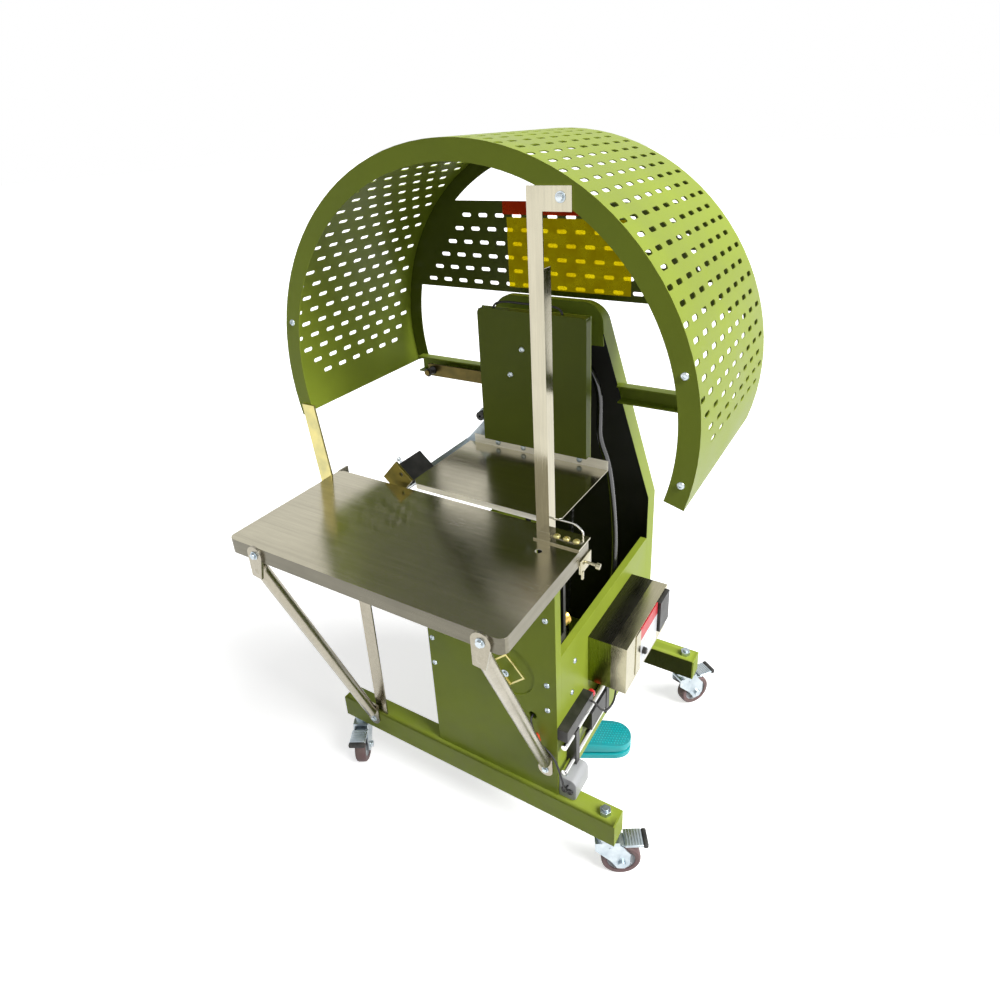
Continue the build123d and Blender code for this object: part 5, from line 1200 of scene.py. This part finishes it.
# %% [markdown]
# ## The knotter
#
# A thick plate carries the cam shaft and the tying hook. The plate and the cam are dark oiled steel,
# the hook is ground, and the edges are rounded more than on sheet metal.

# %% Knotter pieces
softened("knotter_frame", 0.8, dark_steel)
softened("knotter_cam", 1.0, dark_steel)
softened("tying_hook", 0.8, ground_steel)
print("knotter done")


# %% [markdown]
# ## Drive: sprockets, chain, gearbox and motor
#
# The chain is a roller chain with a half inch pitch. Its real links need a path: two arcs and two
# straight runs round both sprockets, which the CAD band also follows. One inner and one outer link
# are modelled once and copied along that path, so each link stays a few dozen faces.

# %% Sprockets
CHAIN_PITCH = 12.7
CHAIN_HALF = 4.5        # half the height of a link, which is also a tooth's depth
TEETH = {"arm_sprocket": 32, "drive_sprocket": 16}


def toothed(bm, place, radius, teeth, thick):
    """A sprocket disc whose rim goes in and out once per tooth."""
    part = bmesh.new()
    bmesh.ops.create_circle(part, cap_ends=True, segments=teeth * 8, radius=radius)
    for k, vert in enumerate(part.verts):
        depth = (1 - math.cos(math.tau * k / 8)) / 2
        vert.co.xy *= 1 - depth * CHAIN_HALF * MM / radius
    thicken(part, thick)
    join_in(bm, part, aim(place, (0, 1, 0)))


arm_low, arm_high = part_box("arm_sprocket")
thick = arm_high.y - arm_low.y
plane_y = (arm_low.y + arm_high.y) / 2
bm = bmesh.new()
toothed(bm, Vector((AXIS.x, arm_low.y, AXIS.z)), (arm_high.x - arm_low.x) / 2, TEETH["arm_sprocket"], thick)
piece("arm_chain_wheel", bm, [dark_steel], "arm_sprocket")
drive_at = joint_place("drive_spin")
drive_low, drive_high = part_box("drive_sprocket")
drive_r = (drive_high.x - drive_low.x) / 2
bm = bmesh.new()
toothed(bm, Vector((drive_at.x, plane_y - thick / 2, drive_at.z)), drive_r, TEETH["drive_sprocket"], thick)
turned(bm, [(0, 0), (10, 0), (10, 30), (16, 30.4), (16, 38), (10, 38), (10, 43.6), (9.2, 44.4), (0, 44.4)],
       Vector((drive_at.x, drive_low.y, drive_at.z)), (0, 1, 0))
piece("drive_chain_wheel", bm, [dark_steel], "drive_sprocket")
print("teeth:", TEETH)

# %% Chain path
chain_low, chain_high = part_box("drive_chain")
r_top = (chain_high.z - AXIS.z) - CHAIN_HALF * MM
r_low = (drive_at.z - chain_low.z) - CHAIN_HALF * MM
gap = (Vector((AXIS.x, 0, AXIS.z)) - Vector((drive_at.x, 0, drive_at.z))).length
tilt = math.asin((r_top - r_low) / gap)
straight = gap * math.cos(tilt)
arc_top, arc_low = r_top * (math.pi + 2 * tilt), r_low * (math.pi - 2 * tilt)
loop = arc_top + arc_low + 2 * straight
links = round(loop / (CHAIN_PITCH * MM) / 2) * 2
step = loop / links


def on_circle(centre, radius, angle):
    """A point of a circle in the chain's plane."""
    return Vector((centre.x + radius * math.cos(angle), plane_y, centre.z + radius * math.sin(angle)))


def chain_point(s):
    """The point s metres along the chain's loop, from where it meets the arm sprocket on the right."""
    s %= loop
    left, right = math.pi + tilt, -tilt
    if s < arc_top:
        return on_circle(AXIS, r_top, right + s / r_top)
    s -= arc_top
    if s < straight:
        return on_circle(AXIS, r_top, left).lerp(on_circle(drive_at, r_low, left), s / straight)
    s -= straight
    if s < arc_low:
        return on_circle(drive_at, r_low, left + s / r_low)
    s -= arc_low
    return on_circle(drive_at, r_low, right).lerp(on_circle(AXIS, r_top, right), s / straight)


print("chain loop", round(loop / MM), "mm,", links, "links of", round(step / MM, 2), "mm")


# %% Chain links
def link_plate(bm, y, thick):
    """A chain plate along X, as one obround."""
    part = bmesh.new()
    ring = bmesh.ops.create_circle(part, cap_ends=True, segments=12, radius=4.2 * MM,
                                   matrix=Matrix.Rotation(math.radians(15), 4, "Z"))["verts"]
    for vert in ring:
        vert.co.x += math.copysign(step / 2, vert.co.x)
    thicken(part, thick * MM)
    join_in(bm, part, Matrix.Translation((0, y * MM, 0)) @ Matrix.Rotation(math.radians(-90), 4, "X"))


def one_link(inner):
    """A link along X: two plates, and in an inner link the two rollers between them."""
    bm = bmesh.new()
    side = 2.4 if inner else 3.5
    for y in (-side - 0.5, side - 0.5):
        link_plate(bm, y, 0.9)
    if inner:
        for x in (-step / 2, step / 2):
            part = bmesh.new()
            bmesh.ops.create_cone(part, cap_ends=True, segments=8, radius1=3.6 * MM, radius2=3.6 * MM,
                                  depth=4.6 * MM)
            join_in(bm, part, aim((x, 0, 0), (0, 1, 0)))
    return mesh_of("link", bm)


bm = bmesh.new()
link_meshes = [one_link(True), one_link(False)]
for k in range(links):
    start, end = chain_point(k * step), chain_point((k + 1) * step)
    turn = turn_to((end - start).normalized(), Vector((0, 1, 0)))
    add_copy(bm, link_meshes[k % 2], Matrix.Translation((start + end) / 2) @ turn)
piece("roller_chain", bm, [dark_steel], "drive_chain", crisp=30)

# %% Gearbox and motor
softened("gearbox", 2.0, casting, segments=3)
motor_low, motor_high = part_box("motor")
motor_at = middle("motor")
MOTOR_R, FIN_R, FIN_PITCH = 40, 44, 7.5
bm = bmesh.new()
long = (motor_high.x - motor_low.x) / MM
outline = [(0, 0), (36, 0), (MOTOR_R, 3), (MOTOR_R, 12)]
for k in range(8):
    at = 13 + k * FIN_PITCH
    outline += [(MOTOR_R, at), (FIN_R, at + 0.6), (FIN_R, at + 3.0), (MOTOR_R, at + 3.6)]
outline += [(MOTOR_R, long - 8), (FIN_R, long - 7.4), (FIN_R, long), (0, long)]
turned(bm, outline, Vector((motor_low.x, motor_at.y, motor_at.z)), (1, 0, 0), 40)
piece("finned_motor", bm, [casting], "motor", crisp=25)
print("drive done")


# %% [markdown]
# ## Casters
#
# Each caster has a pressed fork, an axle bolt, a wheel with a soft tyre on a hard hub, and a brake
# pedal with ribs and a rubber tip. The four stand at different angles, so each new part is laid
# in place by the fork's own joints: the swivel axis, the axle and the line between them.

# %% A caster's own axes
PLACES = ("front_right", "front_left", "rear_right", "rear_left")
WHEEL_R = 37.5
TYRE_HALF = 12.0


def caster_frame(name):
    """The matrix from a caster's own axes, trailing along X, to the machine's, and the axle's middle."""
    swivel, axle = joint_place("swivel_" + name), joint_place("roll_" + name)
    trail = Vector((axle.x - swivel.x, axle.y - swivel.y, 0)).normalized()
    turn = turn_to(trail, Vector((0, 0, 1)).cross(trail))
    return Matrix.Translation((swivel.x, swivel.y, 0)) @ turn, Vector((axle.x, axle.y, WHEEL_R * MM))


print("casters:", ", ".join(PLACES))


# %% Wheels and pedals
def wheel(name):
    """A pale hub with five spokes, and the tyre round it."""
    frame_matrix, axle = caster_frame(name)
    along = frame_matrix.to_3x3() @ Vector((0, 1, 0))
    start = axle - along * (TYRE_HALF + 1) * MM
    bm = bmesh.new()
    hub = [(4.1, 0), (11, 0), (12, 0.8), (12, 4.2), (17, 5.4), (23, 5.4), (27, 3.6), (27, 22.4), (23, 20.6),
           (17, 20.6), (12, 21.8), (12, 25.2), (11, 26), (4.1, 26), (4.1, 0)]
    turned(bm, hub, start, along, 40)
    tread_line = [(26.5, 2.0), (30, 1.4), (34.4, 1.6), (36.6, 3.6), (37.5, 7), (37.5, 19), (36.6, 22.4),
                  (34.4, 24.4), (30, 24.6), (26.5, 24), (26.5, 2.0)]
    turned(bm, tread_line, start, along, 48, index=1)
    for k in range(5):
        spoke = aim(start, along, k * math.tau / 5)
        box_bar(bm, (12, -1.4, 3.6), (27, 1.4, 22.4), 0.5, spoke)
    piece("wheel_" + name, bm, [hub_plastic, tyre], "caster_wheel_" + name)


def pedal(name):
    """The brake pedal: a flat arm, a ribbed step and a rubber tip."""
    frame_matrix, _ = caster_frame(name)
    bm = bmesh.new()
    blocks = [((3, -13, 77.5), (62, 13, 81.5), 0.8, 0), ((35, -18, 81.5), (70, 18, 86.8), 2.0, 0),
              ((69.5, -18, 77.5), (79, 18, 88.2), 3.0, 1)]
    for low, high, width, index in blocks:
        box_bar(bm, low, high, width, frame_matrix, index, segments=3)
    for k in range(6):
        x = 38.5 + k * 5.2
        box_bar(bm, (x, -16, 86.4), (x + 2.4, 16, 88.0), 0.7, frame_matrix)
    pin = frame_matrix @ mm(8, -18, 79.5)
    disc(bm, pin, frame_matrix.to_3x3() @ Vector((0, 1, 0)), 2.5, 36)
    piece("pedal_" + name, bm, [zinc, rubber], "caster_brake_" + name)


for name in PLACES:
    softened("caster_fork_" + name, 1.0, zinc)
    wheel(name)
    pedal(name)
softened("caster_stems", 0.6, zinc)
print("casters done")


# %% [markdown]
# ## The foot switch
#
# A low base and a tread of the same turquoise, moulded with small diamonds so that a shoe doesn't
# slip. The diamonds are low four-sided cones in a staggered field, laid on the tread's slope.

# %% Foot switch base
bm = merged("foot_switch_base")
round_edges(bm, 0.8)
copied("switch_base", bm, [turquoise], "foot_switch_base", slot="turquoise")
print("base under the tread done")

# %% Tread with its diamonds
bm = merged("foot_tread")
round_edges(bm, 2.2, segments=3, angle=50)
bm.normal_update()
give_finish([face for face in bm.faces if face.normal.z > 0.8], 1)
tread_frame = Matrix.Translation(layout(*SWITCH_AT, 0)) @ Matrix.Rotation(switch_yaw, 4, "Z")
TREAD_TOP, TREAD_TOE, BEND_X, TOE_X = 46.0, 34.0, -50.0, 81.0
TOE_MIDDLE_X, TOE_REACH = 44, 31        # diamonds stay inside the toe's round end
DIAMOND_STEP, DIAMOND_ROW = 6.4, 6.6
slope = math.atan2(TREAD_TOP - TREAD_TOE, TOE_X - BEND_X)
bumps = 0
for i in range(-4, 5):
    for j in range(20):
        x, y = BEND_X + 6 + (j + (i % 2) / 2) * DIAMOND_STEP, i * DIAMOND_ROW
        if x > TOE_X - 4 or math.hypot(max(0.0, x - TOE_MIDDLE_X), y) > TOE_REACH:
            continue
        part = bmesh.new()
        bmesh.ops.create_cone(part, cap_ends=True, segments=4, radius1=3.3 * MM, radius2=1.2 * MM,
                              depth=1.8 * MM)
        z = TREAD_TOP - (x - BEND_X) * math.tan(slope) + 0.2
        lean = Matrix.Rotation(slope, 4, "Y")
        join_in(bm, part, tread_frame @ Matrix.Translation(mm(x, y, z)) @ lean)
        bumps += 1
piece("tread", bm, [turquoise, deep_turquoise], "foot_tread", closed=False)
print(bumps, "diamonds on the tread")


# %% [markdown]
# ## Screws and bolts
#
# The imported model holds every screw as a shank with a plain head. Its largest flat face is the top
# of the head, so that face tells where the head is, which way it looks and how wide it is. Small
# heads become round ones with a recess, yellow where they look up, and the wide ones become washers
# with a hexagon bolt.

# %% Fasteners
SCREW_R = 6         # a smaller head is a screw's, a wider one a bolt's washer

bm = merged("fasteners")
tops = []
for shell in shells(bm):
    top = max(shell, key=lambda face: face.calc_area())
    where = top.calc_center_bounds()
    width = max((vert.co - where).length for vert in top.verts)
    tops.append((where.copy(), top.normal.copy(), width / MM))
bm.free()
bm = bmesh.new()
for where, out, width in tops:
    if width < SCREW_R:
        yellow = 1 if out.z > 0.9 else 0
        turned(bm, [(0, 0), (width, 0), (width, 0.7), (width * 0.82, 2.1), (width * 0.55, 2.9), (2.2, 3.0),
                    (2.0, 1.4), (0, 1.4)], where - out * 3.0 * MM, out, 24, yellow)
    else:
        base = where - out * 5.0 * MM
        disc(bm, base, out, width, 1.2)
        hexagon(bm, base + out * 1.0 * MM, out, width * 0.74, 3.8, about=0.4)
piece("screws_and_bolts", bm, [zinc, yellow_zinc], "fasteners", crisp=40)
print(len(tops), "screws and bolts")


# %% [markdown]
# ## Studio
#
# A pale floor, a plain surround and one wide lamp from the right. Both the floor and the surround are
# white to the camera and in mirrors, but they send much less light to the machine. So the lamp shapes
# the forms: the faces that look at it are bright, and those that look at the operator are deep.

# %% Floor
FLOOR_LIGHT, SURROUND_LIGHT = 0.10, 0.21
FLOOR_GLOW = 0.62


def seen_plainly(finish):
    """1 where a ray comes from the camera, a mirror or the film, and 0 where it only carries light."""
    rays = [finish.node("ShaderNodeLightPath", {}, output=kind)
            for kind in ("Is Camera Ray", "Is Glossy Ray", "Is Transmission Ray")]
    return rays[0].or_higher(rays[1]).or_higher(rays[2])


floor_finish = Finish("studio_floor")
seen = seen_plainly(floor_finish)
mottle = floor_finish.noise(1.3, detail=2)
pale = floor_finish.mix(floor_finish.range(mottle, 0.3, 0.7, 0, 1), (0.90, 0.90, 0.90), (0.94, 0.94, 0.94))
shade = floor_finish.mix(seen, (FLOOR_LIGHT,) * 3, pale)
glow = floor_finish.mix(seen, (0, 0, 0), (FLOOR_GLOW,) * 3)
dull = floor_finish.range(mottle, 0.3, 0.7, 0.8, 0.9)
floor_finish = floor_finish.done(base=shade, rough=dull, specular=0.0, glow=1.0, glow_colour=glow)
bm = bmesh.new()
bmesh.ops.create_grid(bm, x_segments=2, y_segments=2, size=30)
floor = placed("studio_floor", mesh_of("studio_floor", bm))
floor.data.materials.append(floor_finish)
floor.location.z = -0.0005
print("floor sends", FLOOR_LIGHT, "of the light back")


# %% Surround
class Surround(Finish):
    """The world's light, with the same node makers as a finish."""

    def __init__(self, world):
        world.use_nodes = True
        self.tree = world.node_tree


world = bpy.data.worlds.new("studio")
bpy.context.scene.world = world
sky = Surround(world)
background = sky.tree.nodes["Background"].inputs
background["Color"].default_value = (1, 1, 1, 1)
sky.join(background["Strength"], sky.range(seen_plainly(sky), 0, 1, SURROUND_LIGHT, 1.0))
print("surround lights at", SURROUND_LIGHT)

# %% Lamp
SUN_STRENGTH, SUN_ANGLE = 4.1, 34
lamp = bpy.data.lights.new("wide_sun", "SUN")
lamp.energy = SUN_STRENGTH
lamp.angle = math.radians(SUN_ANGLE)
sun = placed("wide_sun", lamp)
sun.matrix_world = aim((2, 0, 3), (0.72, -0.03, 0.69))
bpy.context.scene.view_settings.view_transform = "Standard"
print("sun of strength", SUN_STRENGTH, "and", SUN_ANGLE, "degrees")
